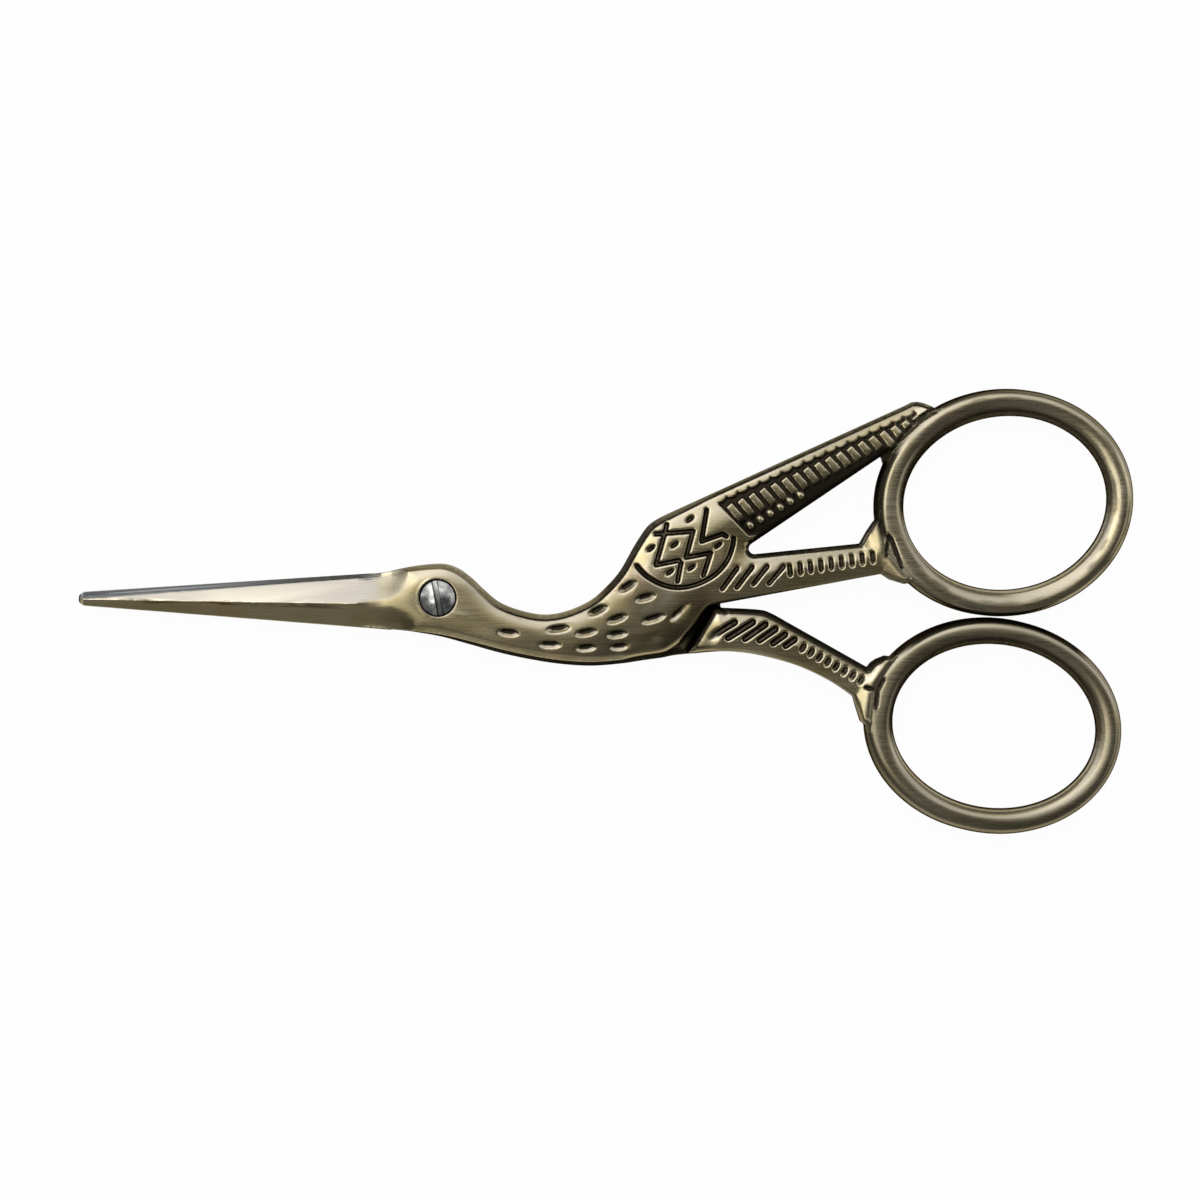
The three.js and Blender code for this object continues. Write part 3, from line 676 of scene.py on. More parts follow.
def soften_runout(piece, trees, ring):
    """Evens out the heights where the blade's facets run into the head, but not the head's chamfer."""
    places, facing = positions(piece), normals(piece)
    first, second = edge_ends(piece)
    window = smoothstep(places[:, 0], RUNOUT_START, RUNOUT_START + RUNOUT_FADE)
    window *= 1 - smoothstep(places[:, 0], RUNOUT_END - RUNOUT_FADE, RUNOUT_END)
    beside_screw = np.hypot(places[:, 0], places[:, 1]) > SCREW_HIGH.x * 1.2
    on_head = smoothstep(places[:, 0], HEAD_CHAMFER_START, HEAD_CHAMFER_FULL)
    for tree, side in zip(trees, (1, -1)):
        distance, _ = measured(places, tree, ring)
        chamfer = on_head * (1 - smoothstep(distance, BEVEL_WIDTH - 0.1, BEVEL_WIDTH + 0.2))
        outer = (side * facing[:, 2] > 0.3) & (side * (places[:, 2] - MIDDLE_Z) > 0.25)
        marked = (window > 0) & outer & beside_screw
        chosen = np.nonzero(marked)[0]
        number = np.zeros(len(places), np.int32)
        number[chosen] = np.arange(len(chosen))
        within = marked[first] & marked[second]
        ends = number[first[within]], number[second[within]]
        heights, share = places[chosen, 2], (window * (1 - chamfer))[chosen]
        for _ in range(passes_for(RUNOUT_BLUR)):
            heights = heights + share * (neighbour_mean(ends, heights) - heights) / 2
        places[chosen, 2] = heights
    move_to(piece, places)


def body_end_weights(places, tree, ring):
    """Where the body's rounded end falls away to the other half's leg."""
    x, y = places[:, 0], places[:, 1]
    window = smoothstep(x, BODY_END_LEFT, BODY_END_LEFT + BODY_END_FADE)
    window = window * (1 - smoothstep(x, BODY_END_RIGHT - BODY_END_FADE, BODY_END_RIGHT))
    distance, _ = measured(places, tree, ring)
    low = 1 - smoothstep(y, BODY_END_TOP - 1, BODY_END_TOP)
    return window * low * (1 - smoothstep(distance, *BODY_END_REACH))


def weight_group(piece, name, weights):
    group = piece.vertex_groups.new(name=name)
    for index in np.nonzero(weights > 0.01)[0]:
        group.add([int(index)], float(weights[index]), "REPLACE")
    return name


def grain(places, size):
    """Noise from about -1 to 1 at each place, with grains of the given size."""
    return np.array([noise.noise(Vector(place)) for place in places / size])


def near_strokes(places, strokes, reach):
    """1 on the given strokes, falling to 0 beyond their reach."""
    gap = np.full(len(places), np.inf)
    for a, b in strokes:
        run = b - a
        x, y = places[:, 0] - a.x, places[:, 1] - a.y
        along = np.clip((x * run.x + y * run.y) / run.length_squared, 0, 1)
        gap = np.minimum(gap, np.hypot(x - along * run.x, y - along * run.y))
    return 1 - smoothstep(gap, 0.6 * reach, 1.2 * reach)


def keep_as(piece, name, values):
    layer = piece.data.attributes.new(name, "FLOAT", "POINT")
    layer.data.foreach_set("value", np.clip(values, 0, 1).astype(np.float32))


def ring_patina_and_shade(places, facing, ring):
    """Patina and painted shade along the bore and the outer flank of a ring, by which way they face, a band of
    painted shadow on the flank, and stains along its rod, lifted as a painted highlight where they face +Y.
    """
    share, turn = ring_polar(places, ring)
    bore = sum(ring["bore"]) / (sum(ring["bore"]) + 2 * ring["rod"])
    across = (share - bore) / (1 - bore)
    # Painted shade: the bore's dark edge is lighter where it faces +Y and darker where it faces +X, and the
    # outer flank's darkness follows its facing too.
    lit_bore = smoothstep(facing[:, 1], *LIT_BORE_FACING)
    right_bore = smoothstep(facing[:, 0], *RIGHT_BORE_LOOKING)
    inner = BORE_PATINA + RIGHT_BORE_SHADE * right_bore - LIT_BORE_LOSS * lit_bore
    inner *= 1 - smoothstep(across, *BORE_EDGE)
    flank_darkness = np.clip(FLANK_PATINA_AND_SHADE + FLANK_UP * facing[:, 1] - FLANK_RIGHT * facing[:, 0], *FLANK_LIMITS)
    outer = smoothstep(across, *FLANK_EDGE) * flank_darkness
    # Painted shadow: a dark band on the outer flank between the ring's dark turns.
    start, end = ring["dark"]
    fade = ring["shadow_fade"]
    shaded = smoothstep(turn, start, start + fade) * (1 - smoothstep(turn, end - fade, end))
    shaded *= smoothstep(across, *SHADE_EDGE) * SHADE_PATINA
    angle = np.radians(turn)
    round_ring = np.stack(
        [np.cos(angle) * STAIN_ROUND, np.sin(angle) * STAIN_ROUND, across * STAIN_ACROSS], axis=-1)
    stain = np.maximum(ring["film"], STAIN_PATINA * smoothstep(grain(round_ring, 1.0), *STAIN_SHARE))
    # Painted highlight: stains are lifted where the rod faces +Y.
    stain *= 1 - STAIN_SHEEN * smoothstep(facing[:, 1], *STAIN_SHEEN_FACING)
    return np.maximum.reduce([inner, outer, shaded, stain]) * (1 - smoothstep(share, *RING_RIM))


def blade_patina(places):
    """Specks along the blade's ridge, and the dark nose."""
    x, y = places[:, 0], places[:, 1]
    ridge = RIDGE_TIP.y + (x - RIDGE_TIP.x) / (RIDGE_ROOT.x - RIDGE_TIP.x) * (RIDGE_ROOT.y - RIDGE_TIP.y)
    speckle = smoothstep(grain(places, SPECK_SIZE), *SPECK_SHARE)
    specks = (1 - smoothstep(np.abs(y - ridge), *SPECK_REACH)) * speckle * SPECK_PATINA
    nose = 1 - smoothstep(x, FRONT_LOW.x + NOSE_START, FRONT_LOW.x + NOSE_END)
    return np.maximum(specks * (x < RUNOUT_START), nose * NOSE_PATINA)


def wing_distance(places):
    return np.hypot(places[:, 0] - WING_CENTRE.x, places[:, 1] - WING_CENTRE.y)


def body_film_and_sheen(places, facing):
    """A thin brown film over the head, the neck and the body, off the wing, and lifted as a painted highlight
    off the crests that face +Y.
    """
    x, y = places[:, 0], places[:, 1]
    along = smoothstep(x, *FILM_START) * (1 - smoothstep(x, *FILM_END))
    off_wing = smoothstep(wing_distance(places), WING_RADIUS, WING_RADIUS + WING_FADE)
    off_crest = 1 - FILM_SHEEN * smoothstep(facing[:, 1], *FILM_SHEEN_FACING)
    on_head = smoothstep(x, *HEAD_FILM_START) * (1 - smoothstep(x, *HEAD_FILM_END))
    on_head *= 1 - smoothstep(y, *HEAD_FILM_TOP)
    thick = FILM + BODY_FILM * smoothstep(x, *BODY_FILM_ALONG) + FILM_MOTTLE * grain(places, FILM_MOTTLE_SIZE)
    return np.maximum(along * off_wing * off_crest * thick, HEAD_FILM * on_head)


def rim_patina_and_shade(places, facing, in_gap):
    """Patina and painted shade on the chamfers: by place on the upper edges, which face +Y, little on the
    lower ones, and most along the gap, where it is painted shade.
    """
    x, y = places[:, 0], places[:, 1]
    run = TAIL_LOW_END - TAIL_LOW_START
    above_gap = y - TAIL_LOW_START.y - (x - TAIL_LOW_START.x) * run.y / run.x
    upper_edge = smoothstep(facing[:, 1], *UPPER_EDGE_FACING)
    upper_rim = np.interp(x, *zip(*UPPER_RIM_PATINA_AND_SHADE))
    kept = LOWER_RIM_PATINA + (upper_rim - LOWER_RIM_PATINA) * upper_edge
    return np.where(in_gap & (above_gap < GAP_RIM_WIDTH), GAP_RIM_SHADE, kept)


def cut_paleness(places, facing, in_gap):
    """How far the cuts' floors are rubbed pale: only on the wing and the legs."""
    off_wing = wing_distance(places) > WING_RADIUS
    dark = in_gap | (off_wing & (places[:, 0] < WING_CENTRE.x))
    pale = np.where(dark, 0.0, CUT_PALENESS + CUT_MOTTLE * grain(places, CUT_MOTTLE_SIZE))
    return pale * smoothstep(np.abs(facing[:, 2]), *CUT_FLAT)


def carved_patina_and_shade(places, facing, trees, ring, in_gap, patina_and_shade):
    """Patina in the cuts of the outer faces and painted shade on their chamfers, with a painted shadow line
    and painted highlights on the cuts' lips, layer by layer, and each place's distance to the nearest outline.
    """
    x, z = places[:, 0], places[:, 2]
    nearest = np.full(len(places), BODY_CROWN_WIDTH)
    kept = rim_patina_and_shade(places, facing, in_gap)
    # Painted shadow: a dark line just inside the chamfers that face +Y.
    shadow_line_kept = RIM_SHADOW_LINE * smoothstep(facing[:, 1], *RIM_LINE_FACING) * smoothstep(x, *RIM_LINE_ALONG)
    # Painted highlight: the lips of cuts that face +Y lose their patina.
    lip = smoothstep(facing[:, 1], *LIP_FACING) * smoothstep(np.abs(facing[:, 2]), *LIP_FLAT)
    lip = np.where(in_gap, 0, LIP_HIGHLIGHT * lip)
    rim_width = bevel_at(x) + RIM_MARGIN
    ragged_depth = RAGGED_DEPTH * grain(places, RAGGED_SIZE)
    pale = cut_paleness(places, facing, in_gap)
    for tree, side in zip(trees, (1, -1)):
        distance, fall = measured(places, tree, ring)
        nearest = np.minimum(nearest, distance)
        lift = side * (z - MIDDLE_Z)
        depth = MIDDLE_Z * shank_thickness(x) - fall - lift + ragged_depth
        edge = 1 - smoothstep(distance, rim_width - RIM_FADE_IN, rim_width + RIM_FADE_OUT)
        lit_lip = lip * (1 - smoothstep(depth, *LIP_DEPTH))
        carved = smoothstep(depth, *CARVED_DEPTH) * (1 - lit_lip) * smoothstep(x, *CARVED_ALONG)
        carved *= 1 - pale
        rim = smoothstep(depth, *RIM_DEPTH) * kept
        off_line = np.abs(distance - rim_width + RIM_LINE_SHIFT)
        line = (1 - smoothstep(off_line, *RIM_LINE_REACH)) * shadow_line_kept
        worked = np.maximum(carved * (1 - edge) + rim * edge, line)
        outer = (lift > OUTER_LIFT) & (x > BLADE_END)
        patina_and_shade = np.where(outer, np.maximum(patina_and_shade * (1 - edge), worked), patina_and_shade)
    return patina_and_shade, nearest


def painted_shade_and_mark_patina(places, facing, nearest, off_ring, strokes):
    """Painted shade on the walls, the lap's ledges and the screw's recess, painted shadow along the legs'
    tops, and patina in the collar marks.
    """
    x, y, z = places.T
    slope = np.hypot(facing[:, 0], facing[:, 1])
    walls = smoothstep(slope, *WALL_SLOPE) * (x > BLADE_END) * WALL_SHADE
    reach = np.hypot(x, y)
    inside = np.abs(z - MIDDLE_Z) < LAP_DEPTH
    corner = (reach > LAP_CORNER_REACH) & (y < 0) & inside
    ledge = inside & (nearest < LEDGE_WIDTH) & (x > BLADE_END)
    recess = 1 - smoothstep(reach, SCREW_HIGH.x + RECESS_START, SCREW_HIGH.x + RECESS_END)
    marks = near_strokes(places, strokes, COLLAR_WIDTH / 2)
    leg_top = (x > LEG_LEFT) * (y < LEG_HIGH) * (1 - smoothstep(nearest, *LEG_TOP_REACH))
    leg_top = leg_top * smoothstep(facing[:, 1], *LEG_TOP_FACING) * off_ring
    return np.maximum.reduce([
        walls, (corner | ledge) * LAP_SHADOW, recess * RECESS_SHADE, marks * MARK_PATINA,
        leg_top * LEG_TOP_SHADOW])


def bend_of(piece, places, facing):
    """How far each place stands out from its neighbours, as a share of the mesh's fineness."""
    ends = edge_ends(piece)
    bend = sum(facing[:, i] * (places[:, i] - neighbour_mean(ends, places[:, i])) for i in range(3)) / VOXEL
    for _ in range(BEND_PASSES):
        bend = (bend + neighbour_mean(ends, bend)) / 2
    return bend


def weather_and_shading(piece, trees, ring, strokes):
    """Marks where the dark patina stayed and where shade is painted, where it was worn or polished off and
    where highlights are painted, and the bare ground edge.
    """
    places, facing = positions(piece), normals(piece)
    x, y, up = places[:, 0], places[:, 1], facing[:, 1]
    in_gap = (x > GAP_LEFT) & (y > GAP_LOW)
    off_ring = smoothstep(ring_share(places, ring), *RING_RIM)
    patina_and_shade = np.maximum(blade_patina(places), body_film_and_sheen(places, facing))
    patina_and_shade, nearest = carved_patina_and_shade(places, facing, trees, ring, in_gap, patina_and_shade)
    patina_and_shade = patina_and_shade * off_ring + ring_patina_and_shade(places, facing, ring)
    patina_and_shade = np.maximum(patina_and_shade, painted_shade_and_mark_patina(places, facing, nearest, off_ring, strokes))
    ragged = x + POLISH_RAGGED * grain(places, POLISH_GRAIN)
    blade = (1 - smoothstep(ragged, *POLISH_END)) * smoothstep(up, *POLISH_FACING)
    # Painted highlight: faces that look a little to +Y are made paler, through the polish and the wear.
    lit_crest = CREST_SHEEN * smoothstep(up, *CREST_START) * (1 - smoothstep(up, *CREST_END))
    keep_as(piece, "polish_and_sheen", np.maximum.reduce([blade, lit_crest, RING_POLISH * (1 - off_ring)]))
    worn = smoothstep(bend_of(piece, places, facing), *WORN_BEND) * np.where(in_gap, GAP_WEAR, 1.0)
    # Painted shade: edges that face -Y keep less of their wear and stay darker.
    worn *= LOW_EDGE_SHADED_WEAR + (1 - LOW_EDGE_SHADED_WEAR) * smoothstep(up, *LOW_EDGE_FACING)
    painted_crest = lit_crest * (CREST_HIGHLIGHT * off_ring + RING_CREST_HIGHLIGHT * (1 - off_ring)) * smoothstep(x, *CREST_ALONG)
    keep_as(piece, "wear_and_sheen", np.maximum(worn, painted_crest))
    strip = (facing[:, 2] > STRIP_FLAT) * smoothstep(up, *STRIP_FACING) * (1 - smoothstep(x, *STRIP_END))
    keep_as(piece, "steel", strip)
    keep_as(piece, "patina_and_shade", np.maximum(patina_and_shade, STRIP_PATINA * strip * smoothstep(x, *STRIP_PATINA_ALONG)))


def cut_away(piece, cutter):
    finish_with(piece, "BOOLEAN", operation="DIFFERENCE", object=cutter, solver="EXACT", use_self=True)


def smooth_casting(half, trees, ring):
    """Smooths the body's end, the joint of the ring and then the faces, each by its own amount."""
    places = positions(half)
    x, share = places[:, 0], ring_share(places, ring)
    joint = smoothstep(share, *JOINT_INNER) * (1 - smoothstep(share, *JOINT_OUTER)) * (x < JOINT_RIGHT)
    on_tail = (x > GAP_LEFT) & (places[:, 1] > GAP_LOW)
    plate = BLADE_SMOOTH + (1 - BLADE_SMOOTH) * smoothstep(x, BLADE_END - 1, BLADE_END + 1)
    stretches = [
        ("end", body_end_weights(places, trees[0], ring), passes_for(BODY_END_BLUR)),
        ("joint", joint, JOINT_SMOOTH_PASSES),
        ("body", np.where(on_tail, TAIL_SMOOTH, plate), SMOOTH_PASSES),
    ]
    for name, weights, passes in stretches:
        group = weight_group(half, name, weights)
        finish_with(half, "SMOOTH", factor=0.5, iterations=passes, vertex_group=group)
    half.vertex_groups.clear()


def cast_half(node, name, ring, cuts, raised, collar, strokes):
    """One half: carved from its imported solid, its ring set on, remeshed, crowned, smoothed and weathered."""
    blank = blank_of(node, name)
    trees = [outline_of(blank, upper, ring) for upper in (True, False)]
    collar = joined(collar)
    rod = ring_rod(ring, name + "_rod")
    cutter = joined(cuts)
    cut_away(blank, cutter)
    cut_away(blank, collar)
    taper_shank(collar)
    cut_away(rod, collar)
    bpy.data.objects.remove(cutter)
    bpy.data.objects.remove(collar)
    blank = joined([blank] + raised)
    sliced_shank(blank)
    taper_shank(blank)
    half = joined([blank, rod])
    finish_with(half, "REMESH", mode="VOXEL", voxel_size=VOXEL)
    for tree, upper in zip(trees, (True, False)):
        crown(half, tree, upper, ring)
    soften_runout(half, trees, ring)
    smooth_casting(half, trees, ring)
    triangles = sum(len(face.vertices) - 2 for face in half.data.polygons)
    if triangles > MOST_TRIANGLES:
        finish_with(half, "DECIMATE", ratio=MOST_TRIANGLES / triangles)
    weather_and_shading(half, trees, ring, strokes)
    return half


def to_metres(piece):
    only(piece)
    piece.scale = (MM, MM, MM)
    bpy.ops.object.transform_apply()


FACES = (TOP_Z, 0.0)
front_cuts = feather_cuts(TOP_Z) + wing_cuts(TOP_Z)
back_cuts = feather_cuts(0.0) + wing_cuts(0.0)
front_raised, front_collar, back_collar = [tail_web()], [], []
for height in FACES:
    front_cuts += tail_panel(height) + upper_leg_cuts(height)
    front_raised += tail_relief(height)
    front_collar += collar_cuts(UPPER_COLLAR_CUTS, height) + tail_seam(height)
    back_cuts += lower_leg_cuts(height)
    back_collar += collar_cuts(LOWER_COLLAR_CUTS, height)
front_half = cast_half(
    "front_half", "front_casting", UPPER_RING, front_cuts, front_raised, front_collar,
    strokes_of(UPPER_COLLAR_CUTS) + seam_strokes())
back_half = cast_half(
    "back_half", "back_casting", LOWER_RING, back_cuts, [], back_collar, strokes_of(LOWER_COLLAR_CUTS))
bpy.data.objects.remove(CUTTER)
for half in (front_half, back_half):
    to_metres(half)
    bpy.ops.object.shade_smooth()


# Screw

SCREW_DOME, SCREW_RIM = 0.5, 0.75
SCREW_SHANK_RADIUS = 1.25
SLOT_ANGLE, SLOT_OPENING, SLOT_FLOOR = 101, 0.62, 0.72


def turned_screw():
    """A domed head cut from a ball, drawn down to its rim and shank, with a slot across it."""
    radius, apex = SCREW_HIGH.x, SCREW_HIGH.z
    ball = (radius * radius + SCREW_DOME * SCREW_DOME) / (2 * SCREW_DOME)
    rim_top = apex - SCREW_DOME
    bpy.ops.object.select_all(action="DESELECT")
    bpy.ops.mesh.primitive_uv_sphere_add(
        segments=96, ring_count=96, radius=ball, location=(0, 0, apex - ball))
    screw = bpy.context.object
    screw.name = "slotted_screw"
    bpy.ops.object.transform_apply()
    bpy.ops.object.mode_set(mode="EDIT")
    bpy.ops.mesh.select_all(action="SELECT")
    bpy.ops.mesh.bisect(plane_co=(0, 0, rim_top), plane_no=(0, 0, -1), clear_outer=True)
    bpy.ops.mesh.extrude_edges_move(TRANSFORM_OT_translate={"value": (0, 0, -SCREW_RIM)})
    bpy.ops.mesh.extrude_edges_move(TRANSFORM_OT_translate={"value": (0, 0, 0)})
    inward = SCREW_SHANK_RADIUS / radius
    bpy.ops.transform.resize(value=(inward, inward, 1), center_override=(0, 0, rim_top - SCREW_RIM))
    bpy.ops.mesh.extrude_edges_move(TRANSFORM_OT_translate={"value": (0, 0, SCREW_RIM - rim_top)})
    bpy.ops.mesh.edge_face_add()
    bpy.ops.mesh.select_all(action="SELECT")
    bpy.ops.mesh.remove_doubles(threshold=0.001)
    bpy.ops.mesh.normals_make_consistent(inside=False)
    bpy.ops.object.mode_set(mode="OBJECT")
    bpy.ops.object.select_all(action="DESELECT")
    bpy.ops.mesh.primitive_cube_add(
        size=1, location=(0, 0, apex - SLOT_FLOOR + 1), rotation=(0, 0, math.radians(SLOT_ANGLE)),
        scale=(3 * radius, SLOT_OPENING, 2))
    slot = bpy.context.object
    finish_with(screw, "BOOLEAN", operation="DIFFERENCE", object=slot, solver="EXACT")
    bpy.data.objects.remove(slot)
    finish_with(screw, "BEVEL", width=0.06, segments=3, limit_method="ANGLE", angle_limit=math.radians(28))
    to_metres(screw)
    bpy.ops.object.shade_smooth_by_angle(angle=math.radians(40))
    return screw


screw = turned_screw()


# Materials

class Finish:
    """A metal's node tree, with short ways to add and join its nodes."""

    def __init__(self, name):
        self.material = bpy.data.materials.new(name)
        self.material.use_nodes = True
        self.nodes = self.material.node_tree.nodes
        self.links = self.material.node_tree.links
        self.metal = self.nodes["Principled BSDF"]
        self.metal.inputs["Metallic"].default_value = 1

    def node(self, kind, **settings):
        made = self.nodes.new("ShaderNode" + kind)
        for setting, value in settings.items():
            setattr(made, setting, value)
        return made

    def put(self, socket, value):
        """Joins a socket to another node's output, or sets its own value."""
        if isinstance(value, bpy.types.NodeSocket):
            self.links.new(value, socket)
        else:
            socket.default_value = value

    def noise(self, size, detail=3, roughness=0.55):
        """Noise whose grains have the given size in millimetres along X, Y and Z."""
        place = self.node("TexCoord")
        stretch = self.node("Mapping")
        stretch.inputs["Scale"].default_value = [1 / (length * MM) for length in size]
        grain = self.node("TexNoise")
        grain.inputs["Scale"].default_value = 1
        grain.inputs["Detail"].default_value = detail
        grain.inputs["Roughness"].default_value = roughness
        self.links.new(place.outputs["Object"], stretch.inputs["Vector"])
        self.links.new(stretch.outputs["Vector"], grain.inputs["Vector"])
        return grain.outputs["Fac"]

    def attribute(self, name):
        return self.node("Attribute", attribute_name=name).outputs["Fac"]

    def ranged(self, value, low, high, to_low=0.0, to_high=1.0):
        made = self.node("MapRange", interpolation_type="SMOOTHSTEP")
        for socket, given in zip(made.inputs, (value, low, high, to_low, to_high)):
            self.put(socket, given)
        return made.outputs["Result"]

    def math(self, operation, first, second):
        made = self.node("Math", operation=operation, use_clamp=operation != "SUBTRACT")
        self.put(made.inputs[0], first)
        self.put(made.inputs[1], second)
        return made.outputs["Value"]

    def mix(self, share, first, second, blend="MIX"):
        made = self.node("Mix", data_type="RGBA", blend_type=blend)
        self.put(made.inputs[0], share)
        self.put(made.inputs[6], first)
        self.put(made.inputs[7], second)
        return made.outputs[2]

    def bump(self, height, strength, distance):
        made = self.node("Bump")
        made.inputs["Strength"].default_value = strength
        made.inputs["Distance"].default_value = distance * MM
        self.links.new(height, made.inputs["Height"])
        self.links.new(made.outputs["Normal"], self.metal.inputs["Normal"])


OLIVE = (0.45, 0.375, 0.19, 1)
PALE = (0.52, 0.445, 0.265, 1)
COPPER = (0.56, 0.40, 0.225, 1)
# POLISHED_AND_SHEEN and WORN_AND_SHEEN also colour painted highlights on faces that look to +Y.
POLISHED_AND_SHEEN = (0.43, 0.40, 0.345, 1)
WORN_AND_SHEEN = (0.66, 0.60, 0.48, 1)
# PATINA_AND_SHADE also colours the painted shade.
PATINA_AND_SHADE = (0.022, 0.018, 0.012, 1)
GROUND_STEEL = (0.36, 0.37, 0.38, 1)
EDGE_TINT = (0.3, 0.26, 0.2, 1)
DULL_STEEL = (0.30, 0.30, 0.295, 1)
BRIGHT_STEEL = (0.70, 0.70, 0.68, 1)
# Painted shade in the screw's slot: a grey floor, darker along its sides.
SLOT_FLOOR_SHADE = (0.2, 0.2, 0.195, 1)
SLOT_SIDE_SHADE = (0.03, 0.028, 0.024, 1)
WEAR_SHARE, PATINA_ROUGHNESS, SLOT_SIDE_SHADE_SHARE = 0.75, 0.16, 0.92


def antique_bronze():
    finish = Finish("antique_bronze")
    cloud = finish.noise((7, 4, 4), detail=4)
    tint = finish.noise((9, 6, 6), detail=2)
    streak = finish.noise((6, 0.09, 0.3), detail=3, roughness=0.6)
    fine = finish.noise((0.25, 0.12, 0.2), detail=2)
    # The patina attribute carries painted shade and painted shadow as well as patina.
    patina_and_shade = finish.attribute("patina_and_shade")
    # The wear and polish attributes also carry painted highlights on faces that look a little to +Y.
    wear_and_sheen = finish.attribute("wear_and_sheen")
    steel = finish.attribute("steel")
    polish_and_sheen = finish.attribute("polish_and_sheen")
    colour = finish.mix(finish.ranged(cloud, 0.36, 0.66), OLIVE, PALE)
    colour = finish.mix(finish.ranged(tint, 0.56, 0.72, 0, 0.5), colour, COPPER)
    colour = finish.mix(polish_and_sheen, colour, POLISHED_AND_SHEEN)
    shade = finish.ranged(streak, 0.3, 0.7, 0.82, 1.0)
    brushed = finish.node("CombineColor")
    for socket in brushed.inputs:
        finish.put(socket, shade)
    colour = finish.mix(1.0, colour, brushed.outputs["Color"], "MULTIPLY")
    colour = finish.mix(finish.math("MULTIPLY", wear_and_sheen, WEAR_SHARE), colour, WORN_AND_SHEEN)
    blotch = finish.ranged(fine, 0.35, 0.65, -0.12, 0.12)
    dark = finish.math("ADD", patina_and_shade, finish.math("MULTIPLY", blotch, patina_and_shade))
    colour = finish.mix(steel, colour, GROUND_STEEL)
    colour = finish.mix(dark, colour, PATINA_AND_SHADE)
    finish.put(finish.metal.inputs["Base Color"], colour)
    finish.put(finish.metal.inputs["Specular Tint"], EDGE_TINT)
    rough = finish.ranged(streak, 0.3, 0.7, 0.17, 0.26)
    dull = finish.math("MULTIPLY", dark, PATINA_ROUGHNESS)
    finish.put(finish.metal.inputs["Roughness"], finish.math("ADD", rough, dull))
    finish.bump(streak, 0.22, 0.012)
    return finish.material


def screw_steel():
    finish = Finish("screw_steel")
    cloud = finish.noise((1.1, 1.1, 1.1), detail=3)
    turned = finish.noise((1.2, 0.07, 0.3), detail=2)
    turn = math.radians(SLOT_ANGLE)
    over = finish.node("VectorMath", operation="DOT_PRODUCT")
    over.inputs[1].default_value = (math.sin(turn), -math.cos(turn), 0)
    finish.put(over.inputs[0], finish.node("TexCoord").outputs["Object"])
    across = finish.math("ABSOLUTE", over.outputs["Value"], 0)
    # Painted shade in the slot: its floor is greyed and darkened along both sides, where its walls shade it.
    slot_side_shade_start = finish.ranged(across, 0.15 * MM, 0.27 * MM)
    slot_side_shade_end = finish.ranged(across, 0.33 * MM, 0.38 * MM, 1, 0)
    slot_side_shade = finish.math("MULTIPLY", slot_side_shade_start, slot_side_shade_end)
    steel = finish.mix(finish.ranged(cloud, 0.36, 0.64), DULL_STEEL, BRIGHT_STEEL)
    steel = finish.mix(finish.ranged(across, 0.2 * MM, 0.3 * MM, 0.75, 0), steel, SLOT_FLOOR_SHADE)
    colour = finish.mix(finish.math("MULTIPLY", slot_side_shade, SLOT_SIDE_SHADE_SHARE), steel, SLOT_SIDE_SHADE)
    finish.put(finish.metal.inputs["Base Color"], colour)
    finish.put(finish.metal.inputs["Roughness"], finish.ranged(turned, 0.3, 0.7, 0.16, 0.26))
    finish.bump(turned, 0.12, 0.01)
    return finish.material


bronze = antique_bronze()
for half, body in ((front_half, "front_half"), (back_half, "back_half")):
    half.data.materials.append(bronze)
    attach(half, body)
    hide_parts(body)
screw.data.materials.append(screw_steel())
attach(screw, "back_half")
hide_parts("pivot_screw")


# Stage

FLOOR_SIZE, FLOOR_DROP, FLOOR_GLOW = 6, 0.02, 0.97
FLOOR_PAPER = (0.9, 0.9, 0.9, 1)


def stage_material(piece, name):
    """An empty node tree on a piece of the stage: its nodes, its links and the socket of its surface."""
    made = bpy.data.materials.new(name)
    made.use_nodes = True
    nodes, links = made.node_tree.nodes, made.node_tree.links
    nodes.clear()
    piece.data.materials.append(made)
    return nodes, links, nodes.new("ShaderNodeOutputMaterial").inputs["Surface"]


def floor():
    """Paper that takes the object's shadow, and is white to the camera and in reflections."""
    bpy.ops.mesh.primitive_plane_add(size=FLOOR_SIZE, location=(0, 0, -FLOOR_DROP * MM))
    plane = bpy.context.object
    plane.name = "floor"
    nodes, links, surface = stage_material(plane, "floor_white")
    path = nodes.new("ShaderNodeLightPath")
    seen = path.outputs["Is Camera Ray"]
    for ray in ("Is Glossy Ray", "Is Transmission Ray"):
        either = nodes.new("ShaderNodeMath")
        either.operation = "MAXIMUM"
        links.new(seen, either.inputs[0])
        links.new(path.outputs[ray], either.inputs[1])
        seen = either.outputs[0]
    share = nodes.new("ShaderNodeMath")
    share.operation = "MULTIPLY"
    share.inputs[1].default_value = FLOOR_GLOW
    links.new(seen, share.inputs[0])
    paper = nodes.new("ShaderNodeBsdfDiffuse")
    paper.inputs["Color"].default_value = FLOOR_PAPER
    white = nodes.new("ShaderNodeEmission")
    mix = nodes.new("ShaderNodeMixShader")
    for socket, source in zip(mix.inputs, (share, paper, white)):
        links.new(source.outputs[0], socket)
    links.new(mix.outputs[0], surface)


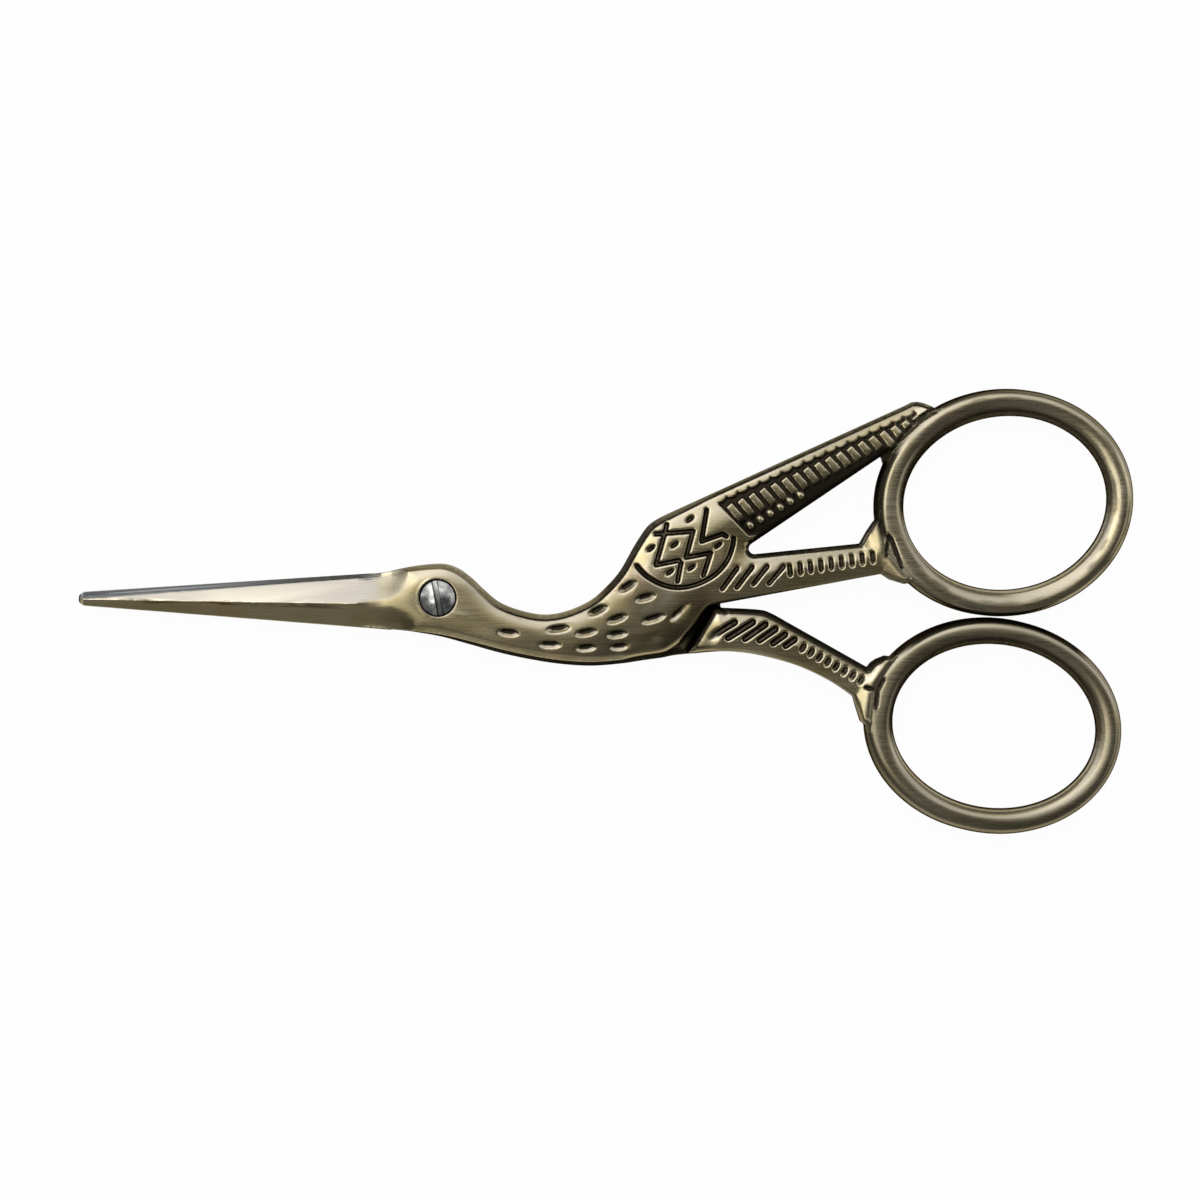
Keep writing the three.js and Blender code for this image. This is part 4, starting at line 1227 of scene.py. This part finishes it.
TENT_RADIUS, TENT_LEVEL = 0.9, 2.0
TENT_ALONG_Y = [
    (-90, 0.42), (-75, 0.42), (-60, 0.28), (-45, 0.25), (-30, 0.26), (-15, 0.19), (0, 0.17), (6, 0.45),
    (11, 1.45), (15, 1.85), (20, 2.0), (30, 2.0), (45, 1.9), (56, 1.1), (66, 0.5), (76, 0.42), (90, 0.42),
]
TENT_ALONG_X = [
    (-90, 0.9), (-70, 0.75), (-55, 0.4), (-40, 0.6), (-25, 1.0), (-12, 1.05), (0, 0.85), (10, 0.6),
    (25, 0.5), (50, 0.4), (70, 0.75), (90, 0.9),
]
LEFT_LAMP = {"place": (-0.25, 0.0, 0.74), "width": 0.28, "length": 0.45, "radiance": 2.0}
RIGHT_LAMP = {"place": (0.60, 0.0, 0.46), "width": 0.3, "length": 0.5, "radiance": 0.6}


def light_tent():
    """A dome of soft light: a bright band beyond the upper edge, dim overhead and on the lower side."""
    bpy.ops.object.select_all(action="DESELECT")
    bpy.ops.mesh.primitive_uv_sphere_add(segments=64, ring_count=32, radius=TENT_RADIUS)
    tent = bpy.context.object
    tent.name = "light_tent"
    tent.visible_camera = False
    tent.visible_shadow = False
    nodes, links, surface = stage_material(tent, "tent_light")
    glow = nodes.new("ShaderNodeEmission")
    glow.inputs["Strength"].default_value = TENT_LEVEL
    parts = nodes.new("ShaderNodeSeparateXYZ")
    links.new(nodes.new("ShaderNodeTexCoord").outputs["Object"], parts.inputs[0])
    product = nodes.new("ShaderNodeMix")
    product.data_type = "RGBA"
    product.blend_type = "MULTIPLY"
    product.inputs[0].default_value = 1
    for axis, stops, socket in (("Y", TENT_ALONG_Y, 6), ("X", TENT_ALONG_X, 7)):
        lean = nodes.new("ShaderNodeMath")
        lean.operation = "ARCTAN2"
        links.new(parts.outputs[axis], lean.inputs[0])
        links.new(parts.outputs["Z"], lean.inputs[1])
        turn = nodes.new("ShaderNodeMapRange")
        turn.inputs["From Min"].default_value = -math.pi / 2
        turn.inputs["From Max"].default_value = math.pi / 2
        links.new(lean.outputs[0], turn.inputs["Value"])
        ramp = nodes.new("ShaderNodeValToRGB")
        elements = ramp.color_ramp.elements
        highest = max(level for _, level in stops)
        while len(elements) < len(stops):
            elements.new(0.5)
        for element, (degrees, level) in zip(elements, stops):
            element.position = degrees / 180 + 0.5
            element.color = (level / highest, level / highest, level / highest, 1)
        links.new(turn.outputs[0], ramp.inputs[0])
        links.new(ramp.outputs["Color"], product.inputs[socket])
    links.new(product.outputs[2], glow.inputs["Color"])
    links.new(glow.outputs[0], surface)


def lamp(name, place, width, length, radiance):
    """A rectangular lamp turned to the object, which the rings' sides mirror."""
    lean = math.atan2(place[0], place[2])
    bpy.ops.object.light_add(type="AREA", location=place, rotation=(0, lean, 0))
    light = bpy.context.object
    light.name = name
    light.data.shape = "RECTANGLE"
    light.data.size, light.data.size_y = width, length
    light.data.energy = radiance * math.pi * width * length


def world():
    made = bpy.data.worlds.new("studio")
    bpy.context.scene.world = made
    made.use_nodes = True
    made.node_tree.nodes["Background"].inputs["Color"].default_value = (1, 1, 1, 1)
    made.node_tree.nodes["Background"].inputs["Strength"].default_value = 1


CAMERA_LENS, CAMERA_SENSOR, CAMERA_NEAREST = 120, 36, 0.01


def camera():
    """Straight above the middle of the photograph, as far off as its lens needs to show all of it."""
    width = PHOTO_SIZE * MM_PER_PIXEL
    centre = from_photo((PHOTO_SIZE / 2, PHOTO_SIZE / 2))
    height = MIDDLE_Z + width * CAMERA_LENS / CAMERA_SENSOR
    bpy.ops.object.camera_add(location=(centre.x * MM, centre.y * MM, height * MM), rotation=(0, 0, 0))
    view = bpy.context.object
    view.data.lens = CAMERA_LENS
    view.data.sensor_width = CAMERA_SENSOR
    view.data.clip_start = CAMERA_NEAREST
    bpy.context.scene.camera = view


floor()
light_tent()
lamp("left_lamp", **LEFT_LAMP)
lamp("right_lamp", **RIGHT_LAMP)
world()
camera()
bpy.context.scene.view_settings.view_transform = "Standard"
